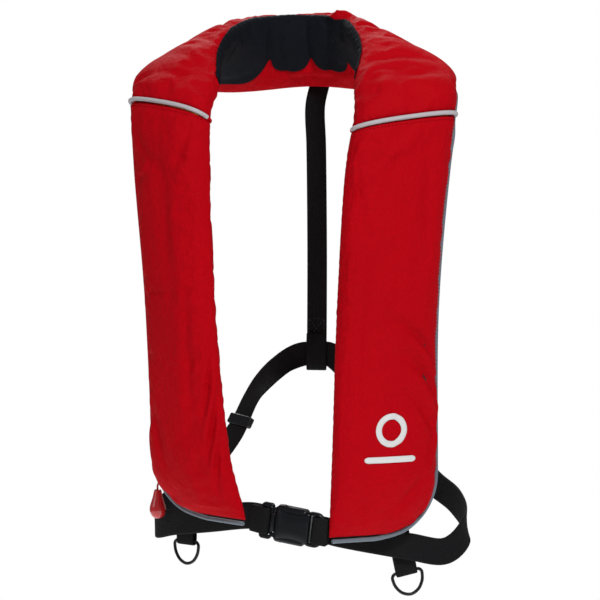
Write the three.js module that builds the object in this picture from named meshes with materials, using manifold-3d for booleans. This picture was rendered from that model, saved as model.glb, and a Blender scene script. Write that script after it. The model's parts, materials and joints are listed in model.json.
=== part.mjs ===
// An inflatable life jacket, packed and fastened, in the shape that it takes on a wearer.
// Millimetres, +Z up. The wearer faces -Y, so the wearer's left is +X. The origin is the base of
// the wearer's neck, between the two shoulders that carry the jacket.
//
// The jacket is one long pillow, bent like a horseshoe: it runs up the wearer's right chest, over
// the shoulder, round the back of the neck and down the left chest. Everything that is sewn to the
// pillow, or packed inside it, is placed by three coordinates: how far along the horseshoe, how far
// from the middle of the pillow towards its outer edge, and how far in front of its middle surface.
import * as THREE from "three";
import { mergeVertices } from "three/addons/utils/BufferGeometryUtils.js";
import Module from "manifold-3d";

const wasm = await Module();
wasm.setup();

// ---------------------------------------------------------------- driving dimensions
const GAP = 0.4; // clearance between pieces that touch or are sewn together

const LOBE_WIDTH = 120; // the pillow across, on the chest
const COLLAR_WIDTH = 90; // the pillow across, behind the neck
const LOBE_DROP = 498; // from the base of the neck down to the hem
const COLLAR_RISE = 74; // from the base of the neck up to the collar's top edge
const NECK_HALF = 76; // half of the neck opening, at the shoulders
const HEM_HALF = 49; // half of the gap between the lobes, at the hem
const HEM_LEAN = 5.5; // how far the belt pulls both hems towards the wearer's left
const COLLAR_LEAN = -7; // and how far the collar has slipped to the right
const CHEST_DEPTH = 150; // from the neck's middle forward to the lobes' inner edges
const NAPE_DEPTH = 82; // from the neck's middle back to the collar's top edge
const CHEST_YAW = 37; // degrees that each lobe turns back round the chest
const RIGHT_TURN = 6; // degrees more for the right lobe
const LEFT_SAG = 17; // how much lower the left hem hangs
const FRONT_BULGE = 25; // the pillow in front of its middle surface
const BACK_BULGE = 15; // and behind it
const COLLAR_THINNING = 0.78; // the collar's thickness over the lobes'
const HEM_RADIUS = 66; // the rounded outer corner of each hem
const HEM_TAPER = 80; // the length over which the pillow thins towards the hem
const CLOTH = 1.6; // wall of the cover
const SQUARENESS = 2.6; // the pillow section's exponent: 2 is an ellipse, more is squarer

const PIPING_RADIUS = 2; // along the outer edges
const SHOULDER_PIPING_RADIUS = 2.8;

const BELT_WIDTH = 30; // waist webbing
const BACK_STRAP_WIDTH = 25;
const TAB_WIDTH = 24; // the short webbing that holds a D-ring
const WEBBING = 1.8; // thickness of all webbing
const FLANK_HALF = 192; // half of the belt's width at the wearer's sides
const BACK_STRAP_DROP = 336; // from the base of the neck to the belt, behind

const RING_INSIDE = 30; // the D-ring's clear width
const RING_HEIGHT = 24; // and its clear height, under the bar
const RING_WIRE = 3.6;

const BUCKLE_LENGTH = 73;
const BUCKLE_HEIGHT = 40;
const BUCKLE_THICKNESS = 13;
const BUCKLE_TILT = 7.5; // degrees that the fastened buckle leans down to the wearer's left
const BUCKLE_YAW = 10; // degrees that its plug end lies further back

const CYLINDER_RADIUS = 12; // the gas cylinder
const CYLINDER_LENGTH = 98;
const HANDLE_RADIUS = 8.5; // the pull handle's bead
const HANDLE_LENGTH = 34;
const TUBE_RADIUS = 6.5; // the mouth inflation tube
const TUBE_LENGTH = 110;

const deg = THREE.MathUtils.degToRad;
const v2 = (x, y) => new THREE.Vector2(x, y);
const v3 = (x, y, z) => new THREE.Vector3(x, y, z);
const smooth = (x) => THREE.MathUtils.smoothstep(x, 0, 1);

// ---------------------------------------------------------------- materials
const material = (color, roughness, metalness = 0) =>
  new THREE.MeshStandardMaterial({ color, roughness, metalness });
const RED_CLOTH = material(0xc01020, 0.75);
const NAVY_LINING = material(0x10161e, 0.9);
const REFLECTIVE = material(0xb4b6bc, 0.4);
const GREY_PIPING = material(0x6f7680, 0.5);
const BLACK_WEBBING = material(0x101112, 0.85);
const BLACK_PLASTIC = material(0x16181c, 0.45);
const BLACK_METAL = material(0x141414, 0.35, 0.6);
const RED_PLASTIC = material(0xd8101a, 0.25);
const YELLOW_BLADDER = material(0xe8c21a, 0.5);
const STEEL = material(0xb8babd, 0.3, 0.9);
const BLACK_RUBBER = material(0x1a1a1a, 0.8);
const GREEN_PLASTIC = material(0x1f8f3a, 0.4);
const ORANGE_PLASTIC = material(0xf07018, 0.35);
const TAPE = material(0x222222, 0.95);

// ---------------------------------------------------------------- solids
const jacket = new THREE.Group();

// Names a geometry as one piece of the jacket, placed in a frame if one is given.
function piece(name, geometry, finish, frame = null, parent = jacket) {
  const mesh = new THREE.Mesh(geometry, finish);
  mesh.name = name;
  if (frame) mesh.applyMatrix4(frame);
  parent.add(mesh);
  return mesh;
}

function toManifold(geometry) {
  const bare = geometry.index ? geometry.toNonIndexed() : geometry.clone();
  bare.deleteAttribute("normal");
  bare.deleteAttribute("uv");
  const merged = mergeVertices(bare, 1e-4);
  return new wasm.Manifold(
    new wasm.Mesh({
      numProp: 3,
      vertProperties: merged.attributes.position.array,
      triVerts: new Uint32Array(merged.index.array),
    }),
  );
}

function fromManifold(solid) {
  const mesh = solid.getMesh();
  const geometry = new THREE.BufferGeometry();
  geometry.setAttribute("position", new THREE.BufferAttribute(mesh.vertProperties, 3));
  geometry.setIndex(new THREE.BufferAttribute(mesh.triVerts, 1));
  return geometry;
}

// Joins the geometries in add to base, then cuts away those in cut.
function combine(base, { add = [], cut = [] }) {
  let solid = toManifold(base);
  for (const g of add) solid = solid.add(toManifold(g));
  for (const g of cut) solid = solid.subtract(toManifold(g));
  return fromManifold(solid);
}

// A box by its lowest and highest corners.
function block(lo, hi) {
  const size = hi.map((h, i) => h - lo[i]);
  return new THREE.BoxGeometry(...size).translate(...lo.map((l, i) => l + size[i] / 2));
}

// A flat outline in x and z, given thickness along y about y = 0.
function slab(outline, thickness, bevel = 0) {
  const shape = outline instanceof THREE.Shape ? outline : new THREE.Shape(outline);
  const geometry = new THREE.ExtrudeGeometry(shape, {
    depth: thickness - 2 * bevel,
    bevelEnabled: bevel > 0,
    bevelThickness: bevel,
    bevelSize: bevel,
    bevelOffset: -bevel,
    bevelSegments: 1,
    curveSegments: 3,
  });
  return geometry.translate(0, 0, -thickness / 2 + bevel).rotateX(Math.PI / 2);
}

// A rectangle with rounded corners, as a shape or a hole, centred on x, z.
function roundedRect(x, z, width, height, radius, Kind = THREE.Shape) {
  const [l, r, b, t] = [x - width / 2, x + width / 2, z - height / 2, z + height / 2];
  const path = new Kind();
  path.moveTo(l + radius, b);
  path.lineTo(r - radius, b);
  path.absarc(r - radius, b + radius, radius, -Math.PI / 2, 0);
  path.lineTo(r, t - radius);
  path.absarc(r - radius, t - radius, radius, 0, Math.PI / 2);
  path.lineTo(l + radius, t);
  path.absarc(l + radius, t - radius, radius, Math.PI / 2, Math.PI);
  path.lineTo(l, b + radius);
  path.absarc(l + radius, b + radius, radius, Math.PI, 1.5 * Math.PI);
  return path;
}

// A turned piece: the profile gives radius and height, and the axis is Z.
function turned(profile, segments = 20) {
  const points = profile.map(([r, z]) => v2(r, z));
  return new THREE.LatheGeometry(points, segments).rotateX(Math.PI / 2);
}

// A round rod from a to b.
function rod(a, b, radius, sides = 10) {
  const along = v3(...b).sub(v3(...a));
  const turn = new THREE.Quaternion().setFromUnitVectors(v3(0, 1, 0), along.clone().normalize());
  return new THREE.CylinderGeometry(radius, radius, along.length(), sides)
    .applyQuaternion(turn)
    .translate(...v3(...a).addScaledVector(along, 0.5).toArray());
}

// A tube of constant section along a curve.
function tube(curve, radius, steps, sides = 8) {
  const section = Array.from({ length: sides }, (_, i) => {
    const a = (i / sides) * 2 * Math.PI;
    return v2(radius * Math.cos(a), radius * Math.sin(a));
  });
  const options = { steps, extrudePath: curve, bevelEnabled: false };
  return new THREE.ExtrudeGeometry(new THREE.Shape(section), options);
}

// A solid through a row of outlines. Each ring holds its outline in the plane and a place() that
// puts a point of that plane in space; every outline has the same number of points.
function loft(rings) {
  const count = rings[0].outline.length;
  const positions = [];
  for (const ring of rings) for (const p of ring.outline) positions.push(...ring.place(p).toArray());
  const index = [];
  for (let k = 0; k + 1 < rings.length; k++)
    for (let i = 0; i < count; i++) {
      const [a, b] = [k * count + i, k * count + ((i + 1) % count)];
      index.push(a, b, b + count, a, b + count, a + count);
    }
  const last = (rings.length - 1) * count;
  for (const [a, b, c] of THREE.ShapeUtils.triangulateShape(rings[0].outline, [])) index.push(a, c, b);
  for (const [a, b, c] of THREE.ShapeUtils.triangulateShape(rings[rings.length - 1].outline, []))
    index.push(last + a, last + b, last + c);
  const geometry = new THREE.BufferGeometry();
  geometry.setAttribute("position", new THREE.Float32BufferAttribute(positions, 3));
  geometry.setIndex(index);
  return signedVolume(geometry) < 0 ? turnedInsideOut(geometry) : geometry;
}

function signedVolume(geometry) {
  const [p, ix] = [geometry.attributes.position, geometry.index.array];
  const corner = (i) => v3(p.getX(i), p.getY(i), p.getZ(i));
  let sum = 0;
  for (let i = 0; i < ix.length; i += 3)
    sum += corner(ix[i]).dot(corner(ix[i + 1]).cross(corner(ix[i + 2])));
  return sum / 6;
}

function turnedInsideOut(geometry) {
  const ix = geometry.index.array;
  for (let i = 0; i < ix.length; i += 3) [ix[i + 1], ix[i + 2]] = [ix[i + 2], ix[i + 1]];
  return geometry;
}

// ---------------------------------------------------------------- the horseshoe
// Each station is a place on the pillow's inner edge, the pillow's width there, and the way that
// the width runs: yaw turns its outer end back, and dip tips it down. The lean moves the stations
// of both sides together, towards the wearer's left. The turn is the share of RIGHT_TURN that the
// wearer's right side has there.
const station = (half, lean, y, z, width, yaw, dip, turn = 0) => {
  return { half, lean, y, z, width, yaw, dip, turn };
};
const [CHEST, NAPE] = [-CHEST_DEPTH, NAPE_DEPTH];
const HALF_STATIONS = [
  station(HEM_HALF, HEM_LEAN, CHEST + 8, -LOBE_DROP, LOBE_WIDTH + 2, CHEST_YAW - 8, 0, 0.3), // hem
  // waist
  station(HEM_HALF + 9, HEM_LEAN - 4, CHEST, -0.84 * LOBE_DROP, LOBE_WIDTH + 1, CHEST_YAW - 4, 0, 0.7),
  station(NECK_HALF - 7, -3.5, CHEST - 2, -0.52 * LOBE_DROP, LOBE_WIDTH, CHEST_YAW, 0, 1), // chest
  station(NECK_HALF, -3, CHEST + 8, -0.23 * LOBE_DROP, LOBE_WIDTH, CHEST_YAW - 4, -2, 0.7), // breast
  station(NECK_HALF + 4, -1.5, CHEST + 26, -62, LOBE_WIDTH + 1, CHEST_YAW - 7, -9, 0.5), // shoulder seam
  station(NECK_HALF + 1, -3.5, CHEST + 66, -22, LOBE_WIDTH - 5, CHEST_YAW - 14, 4), // yoke
  station(NECK_HALF + 4, -8, CHEST + 114, 18, LOBE_WIDTH - 11, CHEST_YAW - 20, 20), // shoulder
  station(NECK_HALF - 8, -14, NAPE - 68, COLLAR_RISE - 24, LOBE_WIDTH - 16, CHEST_YAW - 9, 38), // nape corner
  station(NECK_HALF - 27, -15, NAPE - 30, COLLAR_RISE - 7, LOBE_WIDTH - 20, 48, 55), // nape
  station(0, COLLAR_LEAN, NAPE, COLLAR_RISE, COLLAR_WIDTH, 90, 65), // middle of the back
];
const SEAM_STATION = 4;

function innerOf(s, sign) {
  const sag = sign > 0 ? LEFT_SAG * smooth(Math.max(0, -s.z / LOBE_DROP)) : 0;
  return v3(sign * s.half + s.lean, s.y, s.z - sag);
}
function outerOf(s, sign) {
  const yaw = deg(s.yaw + (sign < 0 ? s.turn * RIGHT_TURN : 0));
  const dip = deg(s.dip);
  const across = v3(sign * Math.cos(dip) * Math.cos(yaw), Math.cos(dip) * Math.sin(yaw), -Math.sin(dip));
  return innerOf(s, sign).addScaledVector(across, s.width);
}

// One edge of the pillow as a curve that runs from the wearer's right hem to the left hem.
function rail(edge) {
  const right = HALF_STATIONS.slice(0, -1).map((s) => edge(s, -1));
  const left = HALF_STATIONS.map((s) => edge(s, 1)).reverse();
  return new THREE.CatmullRomCurve3([...right, ...left], false, "centripetal");
}
const innerRail = rail(innerOf);
const outerRail = rail(outerOf);
const middleAt = (t) => innerRail.getPoint(t).lerp(outerRail.getPoint(t), 0.5);

// Distance along the middle of the pillow, from the right hem, against the rails' parameter.
const STEPS_ALONG = 600;
const lengths = [0];
for (let i = 1; i <= STEPS_ALONG; i++)
  lengths.push(lengths[i - 1] + middleAt(i / STEPS_ALONG).distanceTo(middleAt((i - 1) / STEPS_ALONG)));
const WHOLE_LENGTH = lengths[STEPS_ALONG];
function parameterAt(distance) {
  const i = lengths.findIndex((l) => l >= distance);
  if (i <= 0) return i < 0 ? 1 : 0;
  return (i - 1 + (distance - lengths[i - 1]) / (lengths[i] - lengths[i - 1])) / STEPS_ALONG;
}
const seamParameter = SEAM_STATION / (2 * HALF_STATIONS.length - 2);
const SEAM_DISTANCE = lengths[Math.round(seamParameter * STEPS_ALONG)];

// The pillow's own frame at a distance along it: middle, width direction, front normal, and the
// half width and bulges there, with the hem's rounded corner and taper.
function frameAt(distance) {
  const t = parameterAt(THREE.MathUtils.clamp(distance, 0, WHOLE_LENGTH));
  const [inner, outer] = [innerRail.getPoint(t), outerRail.getPoint(t)];
  const across = outer.clone().sub(inner);
  const width = across.length();
  const w = across.normalize();
  const step = 1e-3;
  const along = middleAt(Math.min(1, t + step)).sub(middleAt(Math.max(0, t - step)));
  const n = along.cross(w).normalize();
  const fromHem = Math.min(distance, WHOLE_LENGTH - distance);
  const inCorner = Math.max(0, HEM_RADIUS - fromHem);
  const cut = HEM_RADIUS - Math.sqrt(Math.max(0, HEM_RADIUS ** 2 - inCorner ** 2));
  const inCollar = smooth((fromHem - SEAM_DISTANCE) / (WHOLE_LENGTH / 2 - SEAM_DISTANCE));
  const full = 1 - (1 - COLLAR_THINNING) * inCollar;
  const taper = 0.42 + 0.58 * Math.sin((Math.PI / 2) * Math.min(1, fromHem / HEM_TAPER));
  return {
    middle: inner.lerp(outer, 0.5),
    w,
    n,
    half: (width - cut) / 2,
    shift: -cut / 2,
    front: FRONT_BULGE * full * taper,
    back: BACK_BULGE * full * taper,
  };
}

// A point of the pillow's section plane: x along its width from the middle, y in front.
const placeAt = (f) => (p) => f.middle.clone().addScaledVector(f.w, p.x).addScaledVector(f.n, p.y);
const pointAt = (distance, across, ahead) => placeAt(frameAt(distance))(v2(across, ahead));

// A point on the section's rim. The angle is 0 at the outer edge, 90 in front, 180 at the inner
// edge and 270 behind; inset moves the rim inwards.
function rim(f, angle, inset = 0) {
  const [c, s] = [Math.cos(deg(angle)), Math.sin(deg(angle))];
  const power = 2 / SQUARENESS;
  const bulge = (s > 0 ? f.front : f.back) - inset;
  return v2(
    f.shift + Math.sign(c) * (f.half - inset) * Math.abs(c) ** power,
    Math.sign(s) * bulge * Math.abs(s) ** power,
  );
}

const anglesBetween = (from, to, count) =>
  Array.from({ length: count }, (_, i) => THREE.MathUtils.lerp(from, to, i / (count - 1)));

// A strip of the pillow's wall, between two rim angles.
function wallRing(distance, from, to, count, thickness = CLOTH, inset = 0) {
  const f = frameAt(distance);
  const angles = anglesBetween(from, to, count);
  const outside = angles.map((a) => rim(f, a, inset));
  const inside = angles.map((a) => rim(f, a, inset + thickness)).reverse();
  return { outline: [...outside, ...inside], place: placeAt(f) };
}

// Distances from the hem at which a lobe is drawn: close together round the hem's corner.
const LOBE_STEPS = [0, 0.06, 0.18, 0.38, 0.66, 1].map((s) => s * HEM_RADIUS);
const UPPER_STEPS = 8;
function lobeDistances(from, to) {
  const low = LOBE_STEPS.filter((d) => d > from);
  const start = low[low.length - 1];
  const high = Array.from({ length: UPPER_STEPS }, (_, i) => start + ((i + 1) / UPPER_STEPS) * (to - start));
  return [from, ...low, ...high];
}
// Turns a distance from one side's own hem into a distance along the whole horseshoe.
const fromHemOf = { right: (d) => d, left: (d) => WHOLE_LENGTH - d };

// ---------------------------------------------------------------- cover
const OUTER_EDGE = -10; // rim angle where the front cover meets the back panel, at the outer edge
const INNER_EDGE = 205; // and at the inner edge
const COLLAR_TURN = -60; // how far the collar's red cloth wraps on to the neck side
const EDGE_GAP = 1.6; // degrees of rim left open between two sewn edges
const FRONT_POINTS = 12;
const BACK_POINTS = 7;

function frontCover(side) {
  const at = fromHemOf[side];
  const rings = lobeDistances(0, SEAM_DISTANCE - GAP / 2).map((d) =>
    wallRing(at(d), OUTER_EDGE, INNER_EDGE, FRONT_POINTS),
  );
  const hem = [0, CLOTH].map((d) => {
    const f = frameAt(at(d));
    const angles = anglesBetween(OUTER_EDGE + 12, INNER_EDGE - 12, FRONT_POINTS);
    return { outline: angles.map((a) => rim(f, a, CLOTH / 2)), place: placeAt(f) };
  });
  return combine(loft(rings), { add: [loft(hem)] });
}

function backPanel(side) {
  const at = fromHemOf[side];
  const rings = lobeDistances(0, SEAM_DISTANCE - GAP / 2).map((d) =>
    wallRing(at(d), INNER_EDGE + EDGE_GAP, 360 + OUTER_EDGE - EDGE_GAP, BACK_POINTS),
  );
  return loft(rings);
}

// The eyelet in the right back panel that lets the pull cord out.
const EYELET = { distance: 40, angle: -34, radius: 4.5 };
const eyeletFrame = frameAt(fromHemOf.right(EYELET.distance));
const eyelet = placeAt(eyeletFrame)(rim(eyeletFrame, EYELET.angle));
const eyeletOut = placeAt(eyeletFrame)(rim(eyeletFrame, EYELET.angle, -1)).sub(eyelet).normalize();
const eyeletEnds = [-12, 12].map((reach) => eyelet.clone().addScaledVector(eyeletOut, reach).toArray());

const COLLAR_STEPS = 18;
const collarDistances = Array.from({ length: COLLAR_STEPS + 1 }, (_, i) =>
  THREE.MathUtils.lerp(SEAM_DISTANCE + GAP / 2, WHOLE_LENGTH - SEAM_DISTANCE - GAP / 2, i / COLLAR_STEPS),
);
const collarCover = loft(collarDistances.map((d) => wallRing(d, COLLAR_TURN, 180, FRONT_POINTS)));
const collarLining = loft(
  collarDistances.map((d) => wallRing(d, 180 + EDGE_GAP, 360 + COLLAR_TURN - EDGE_GAP, BACK_POINTS)),
);

// A round cord that lies outside the rim, along a row of [distance, angle] places.
function pipingAlong(places, radius, steps) {
  const points = places.map(([d, angle]) => {
    const f = frameAt(d);
    const p = rim(f, angle);
    const away = rim(f, angle, -1).sub(p).normalize();
    return placeAt(f)(p.addScaledVector(away, radius + 2 * GAP));
  });
  return tube(new THREE.CatmullRomCurve3(points, false, "centripetal"), radius, steps, 6);
}

// The edge piping runs down the outer edge, round the hem's corner and along the hem. Each point
// of the outline moves outwards, square to the outline, by the piping's radius and the gap.
function edgePiping(side) {
  const at = fromHemOf[side];
  const down = lobeDistances(0, SEAM_DISTANCE - SHOULDER_PIPING_RADIUS - 4).reverse();
  const outline = down.map((d) => {
    const f = frameAt(at(d));
    return { p: placeAt(f)(v2(f.shift + f.half, 0)), n: f.n };
  });
  const hem = frameAt(at(0));
  for (const share of [0.6, 0.1, -0.4, -0.92])
    outline.push({ p: placeAt(hem)(v2(hem.shift + share * hem.half, 0)), n: hem.n });
  const turn = side === "left" ? -1 : 1;
  const points = outline.map(({ p, n }, i) => {
    const before = outline[Math.max(0, i - 1)].p;
    const after = outline[Math.min(outline.length - 1, i + 1)].p;
    const outwards = after.clone().sub(before).normalize().cross(n).multiplyScalar(turn);
    return p.clone().addScaledVector(outwards, PIPING_RADIUS + 2 * GAP);
  });
  return tube(new THREE.CatmullRomCurve3(points, false, "centripetal"), PIPING_RADIUS, 38, 5);
}

function shoulderPiping(side) {
  const d = fromHemOf[side](SEAM_DISTANCE);
  return pipingAlong(anglesBetween(8, 172, 9).map((a) => [d, a]), SHOULDER_PIPING_RADIUS, 20);
}

// Hook and loop tape closes each lobe along its outer edge, inside the cover.
const TAPE_START = 70; // above the hem
const TAPE_STOP = 20; // below the shoulder seam
const TAPE_THICKNESS = 1.2;
const TAPE_INSET = CLOTH + LOBE_WIDTH / 150; // a wider lobe's wall has flatter facets
function closureTape(side, from, to) {
  const at = fromHemOf[side];
  const within = lobeDistances(0, SEAM_DISTANCE - GAP / 2).filter(
    (d) => d > TAPE_START && d < SEAM_DISTANCE - TAPE_STOP,
  );
  return loft(within.map((d) => wallRing(at(d), from, to, 3, TAPE_THICKNESS, TAPE_INSET)));
}

for (const side of ["right", "left"]) {
  piece(`cover_front_${side}`, frontCover(side), RED_CLOTH);
  const cut = side === "right" ? [rod(...eyeletEnds, EYELET.radius, 12)] : [];
  piece(`back_panel_${side}`, combine(backPanel(side), { cut }), RED_CLOTH);
  piece(`edge_piping_${side}`, edgePiping(side), GREY_PIPING);
  piece(`shoulder_piping_${side}`, shoulderPiping(side), REFLECTIVE);
  piece(`hook_tape_${side}`, closureTape(side, 14, 32), TAPE);
  piece(`loop_tape_${side}`, closureTape(side, -46, -26), TAPE);
}
piece("collar_cover", collarCover, RED_CLOTH);
piece("collar_lining", collarLining, NAVY_LINING);

// The maker's patch on the left chest: a plain oval with nothing written on it.
const PATCH = { low: 84, high: 134, from: 64, to: 122, thickness: 0.8 };
piece(
  "chest_patch",
  loft(
    anglesBetween(PATCH.low, PATCH.high, 6).map((d) =>
      wallRing(fromHemOf.left(d), PATCH.from, PATCH.to, 6, PATCH.thickness, -PATCH.thickness - GAP),
    ),
  ),
  REFLECTIVE,
);

// ---------------------------------------------------------------- inside the lobes
// A frame in a lobe: y points to the front, z up along the lobe, and x to the wearer's right.
function lobeFrame(side, distance, across, ahead) {
  const f = frameAt(fromHemOf[side](distance));
  const up = frameAt(fromHemOf[side](distance + 20)).middle.sub(f.middle).normalize();
  const x = f.n.clone().cross(up).normalize();
  const frame = new THREE.Matrix4().makeBasis(x, f.n, x.clone().cross(f.n).normalize());
  return frame.setPosition(placeAt(f)(v2(across, ahead)));
}

const BLADDER_INSET = TAPE_INSET + TAPE_THICKNESS + 3.4;
const BLADDER_SIDES = 12;
const bladderRings = anglesBetween(60, WHOLE_LENGTH - 30, 36).map((d) => {
  const f = frameAt(d);
  const angles = Array.from({ length: BLADDER_SIDES }, (_, i) => (i / BLADDER_SIDES) * 360);
  return { outline: angles.map((a) => rim(f, a, BLADDER_INSET)), place: placeAt(f) };
});

// The gas inflator, low in the right lobe. Its cylinder stands on the body, which pierces it.
const INFLATOR = { distance: 76, across: -3, ahead: FRONT_BULGE - 19.5 };
const inflator = lobeFrame("right", INFLATOR.distance, INFLATOR.across, INFLATOR.ahead);
const BODY = { x: 15, y: 9.5, low: -22, high: 20 };
const NECK = { radius: 6, depth: 10 };
const PIN = { radius: 1.8, foot: 3.6, low: -7.8, high: 8.2 };
const LEVER = { pivot: -15, cam: 6.4, nose: 9.8, arm: 25, half: 2.6, tilt: 140, base: 4.6, tip: 1.4 };
const STEM = { x: 10.4, radius: 3.2 };
const AXLE_RADIUS = 1.5;
const CHAMBER_RADIUS = PIN.foot + GAP;

const inflatorBody = combine(slab(roundedRect(0, -1, 2 * BODY.x, BODY.high - BODY.low, 5), 2 * BODY.y, 1.5), {
  add: [rod([0, 0, BODY.high - 3], [0, 0, BODY.high + 3], 9.2, 16)],
  cut: [
    rod([0, 0, BODY.high + 4], [0, 0, BODY.high + 3 - NECK.depth], NECK.radius + GAP, 16),
    rod([0, 0, BODY.high], [0, 0, PIN.low], PIN.radius + GAP, 12),
    rod([0, 0, 5], [0, 0, PIN.low - 1], CHAMBER_RADIUS, 14),
    block(
      [-LEVER.nose - GAP, -LEVER.half - GAP, BODY.low - 5],
      [BODY.x + 1, LEVER.half + GAP, LEVER.pivot + LEVER.cam + GAP],
    ),
    block(
      [-LEVER.nose - GAP, -LEVER.half - GAP, BODY.low - 5],
      [LEVER.base, LEVER.half + GAP, LEVER.pivot + LEVER.nose + GAP],
    ),
    rod([0, -BODY.y - 1, LEVER.pivot], [0, BODY.y + 1, LEVER.pivot], AXLE_RADIUS + GAP, 10),
    rod([STEM.x, -BODY.y - 1, 0], [STEM.x, BODY.y + 1, 0], STEM.radius + GAP, 12),
  ],
});
piece("inflator_body", inflatorBody, BLACK_PLASTIC, inflator);

const FLANGE_THICKNESS = 2;
piece(
  "inflator_manifold",
  combine(rod([STEM.x, -BODY.y - GAP - FLANGE_THICKNESS, 0], [STEM.x, -BODY.y - GAP, 0], 13, 18), {
    add: [rod([STEM.x, -BODY.y - FLANGE_THICKNESS, 0], [STEM.x, BODY.y + 3, 0], STEM.radius, 12)],
  }),
  BLACK_PLASTIC,
  inflator,
);
const NUT = { radius: 5.6, height: 3.6 };
const nutOutline = new THREE.Path().absarc(STEM.x, 0, NUT.radius, 0, 2 * Math.PI).getPoints(3);
const nutBlank = slab(new THREE.Shape(nutOutline), NUT.height, 0.6);
piece(
  "dome_nut",
  combine(nutBlank.translate(0, BODY.y + GAP + NUT.height / 2, 0), {
    cut: [rod([STEM.x, BODY.y, 0], [STEM.x, BODY.y + 3 + GAP, 0], STEM.radius + GAP, 12)],
  }),
  STEEL,
  inflator,
);

const nose = [
  v2(-LEVER.base, LEVER.base),
  v2(-LEVER.tip, LEVER.nose),
  v2(LEVER.tip, LEVER.nose),
  v2(LEVER.base, LEVER.base),
];
const rolled = deg(LEVER.tilt - 90);
const lever = combine(rod([0, -LEVER.half, 0], [0, LEVER.half, 0], LEVER.cam, 20), {
  add: [
    slab(nose, 2 * LEVER.half - 0.2).rotateY(-rolled),
    block([4, 0.1 - LEVER.half, -2.4], [LEVER.arm, LEVER.half - 0.1, 2.6]),
    rod([LEVER.arm, -LEVER.half, 0], [LEVER.arm, LEVER.half, 0], 3.6, 12),
  ],
  cut: [
    rod([0, -9, 0], [0, 9, 0], AXLE_RADIUS + GAP, 10),
    rod([LEVER.arm, -9, 0], [LEVER.arm, 9, 0], 1.6, 8),
  ],
}).translate(0, 0, LEVER.pivot);
piece("firing_lever", lever, BLACK_PLASTIC, inflator);
piece("lever_axle", rod([0, -BODY.y, LEVER.pivot], [0, BODY.y, LEVER.pivot], AXLE_RADIUS), STEEL, inflator);
piece(
  "piercing_pin",
  turned([
    [0, PIN.low],
    [PIN.foot, PIN.low],
    [PIN.foot, PIN.low + 2],
    [PIN.radius, PIN.low + 2],
    [PIN.radius, PIN.high - 3],
    [0, PIN.high],
  ], 14),
  STEEL,
  inflator,
);

// A coil spring round the Z axis.
function coil(radius, wire, low, high, turns) {
  const points = Array.from({ length: turns * 8 + 1 }, (_, i) => {
    const a = (i / 8) * 2 * Math.PI;
    return v3(radius * Math.cos(a), radius * Math.sin(a), THREE.MathUtils.lerp(low, high, i / (turns * 8)));
  });
  return tube(new THREE.CatmullRomCurve3(points), wire, turns * 8, 4);
}
const PIN_SPRING = { radius: 2.9, wire: 0.35 };
piece("pin_spring", coil(PIN_SPRING.radius, PIN_SPRING.wire, PIN.low + 3, 4.2, 4), STEEL, inflator);

const CLIP = { x: -9, z: -4, width: 9, height: 12, thickness: 2 };
piece(
  "indicator_clip",
  slab(roundedRect(CLIP.x, CLIP.z, CLIP.width, CLIP.height, 2), CLIP.thickness, 0.4).translate(
    0,
    BODY.y + GAP + CLIP.thickness / 2,
    0,
  ),
  GREEN_PLASTIC,
  inflator,
);
const CAP = { radius: 8.6, length: 15, bore: 4.2, height: 8 };
const capEnd = -BODY.x - GAP - CAP.length;
piece(
  "sensor_cap",
  turned([
    [0, 0],
    [CAP.radius - 1, 0],
    [CAP.radius, 1],
    [CAP.radius, CAP.length],
    [CAP.bore, CAP.length],
    [CAP.bore, 4],
    [0, 4],
  ], 16)
    .rotateY(Math.PI / 2)
    .translate(capEnd, 0, CAP.height),
  BLACK_PLASTIC,
  inflator,
);
piece(
  "sensor_pill",
  rod([capEnd + 4.5, 0, CAP.height], [-BODY.x - GAP - 1, 0, CAP.height], CAP.bore - 0.6, 12),
  YELLOW_BLADDER,
  inflator,
);
const cylinderFoot = BODY.high + 3 - NECK.depth + GAP;
const R = CYLINDER_RADIUS;
piece(
  "gas_cylinder",
  turned([
    [0, 0],
    [NECK.radius, 0],
    [NECK.radius, 13],
    [0.72 * R, 19],
    [R, 28],
    [R, CYLINDER_LENGTH - 11],
    [0.86 * R, CYLINDER_LENGTH - 5],
    [0.5 * R, CYLINDER_LENGTH - 1],
    [0, CYLINDER_LENGTH],
  ]).translate(0, 0, cylinderFoot),
  STEEL,
  inflator,
);

// A place beside a hem, level with it: share is 0 at the hem's inner corner and 1 at its outer
// edge, and behind is the distance from the pillow's middle surface towards the wearer.
const SIGN = { right: -1, left: 1 };
function besideHem(side, share, behind, z) {
  const hem = HALF_STATIONS[0];
  const [inner, outer] = [innerOf(hem, SIGN[side]), outerOf(hem, SIGN[side])];
  const away = v3(inner.y - outer.y, outer.x - inner.x, 0).normalize().multiplyScalar(SIGN[side]);
  const p = inner.lerp(outer, share).addScaledVector(away, behind);
  return v3(p.x, p.y, z - LOBE_DROP);
}

// The cord from the lever leaves the lobe under its outer edge and ends in the red handle.
const leverEye = v3(LEVER.arm, 0, LEVER.pivot).applyMatrix4(inflator);
const handleTop = besideHem("right", 1.167, 15.2, 18);
const LANYARD_RADIUS = 1.1;

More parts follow.
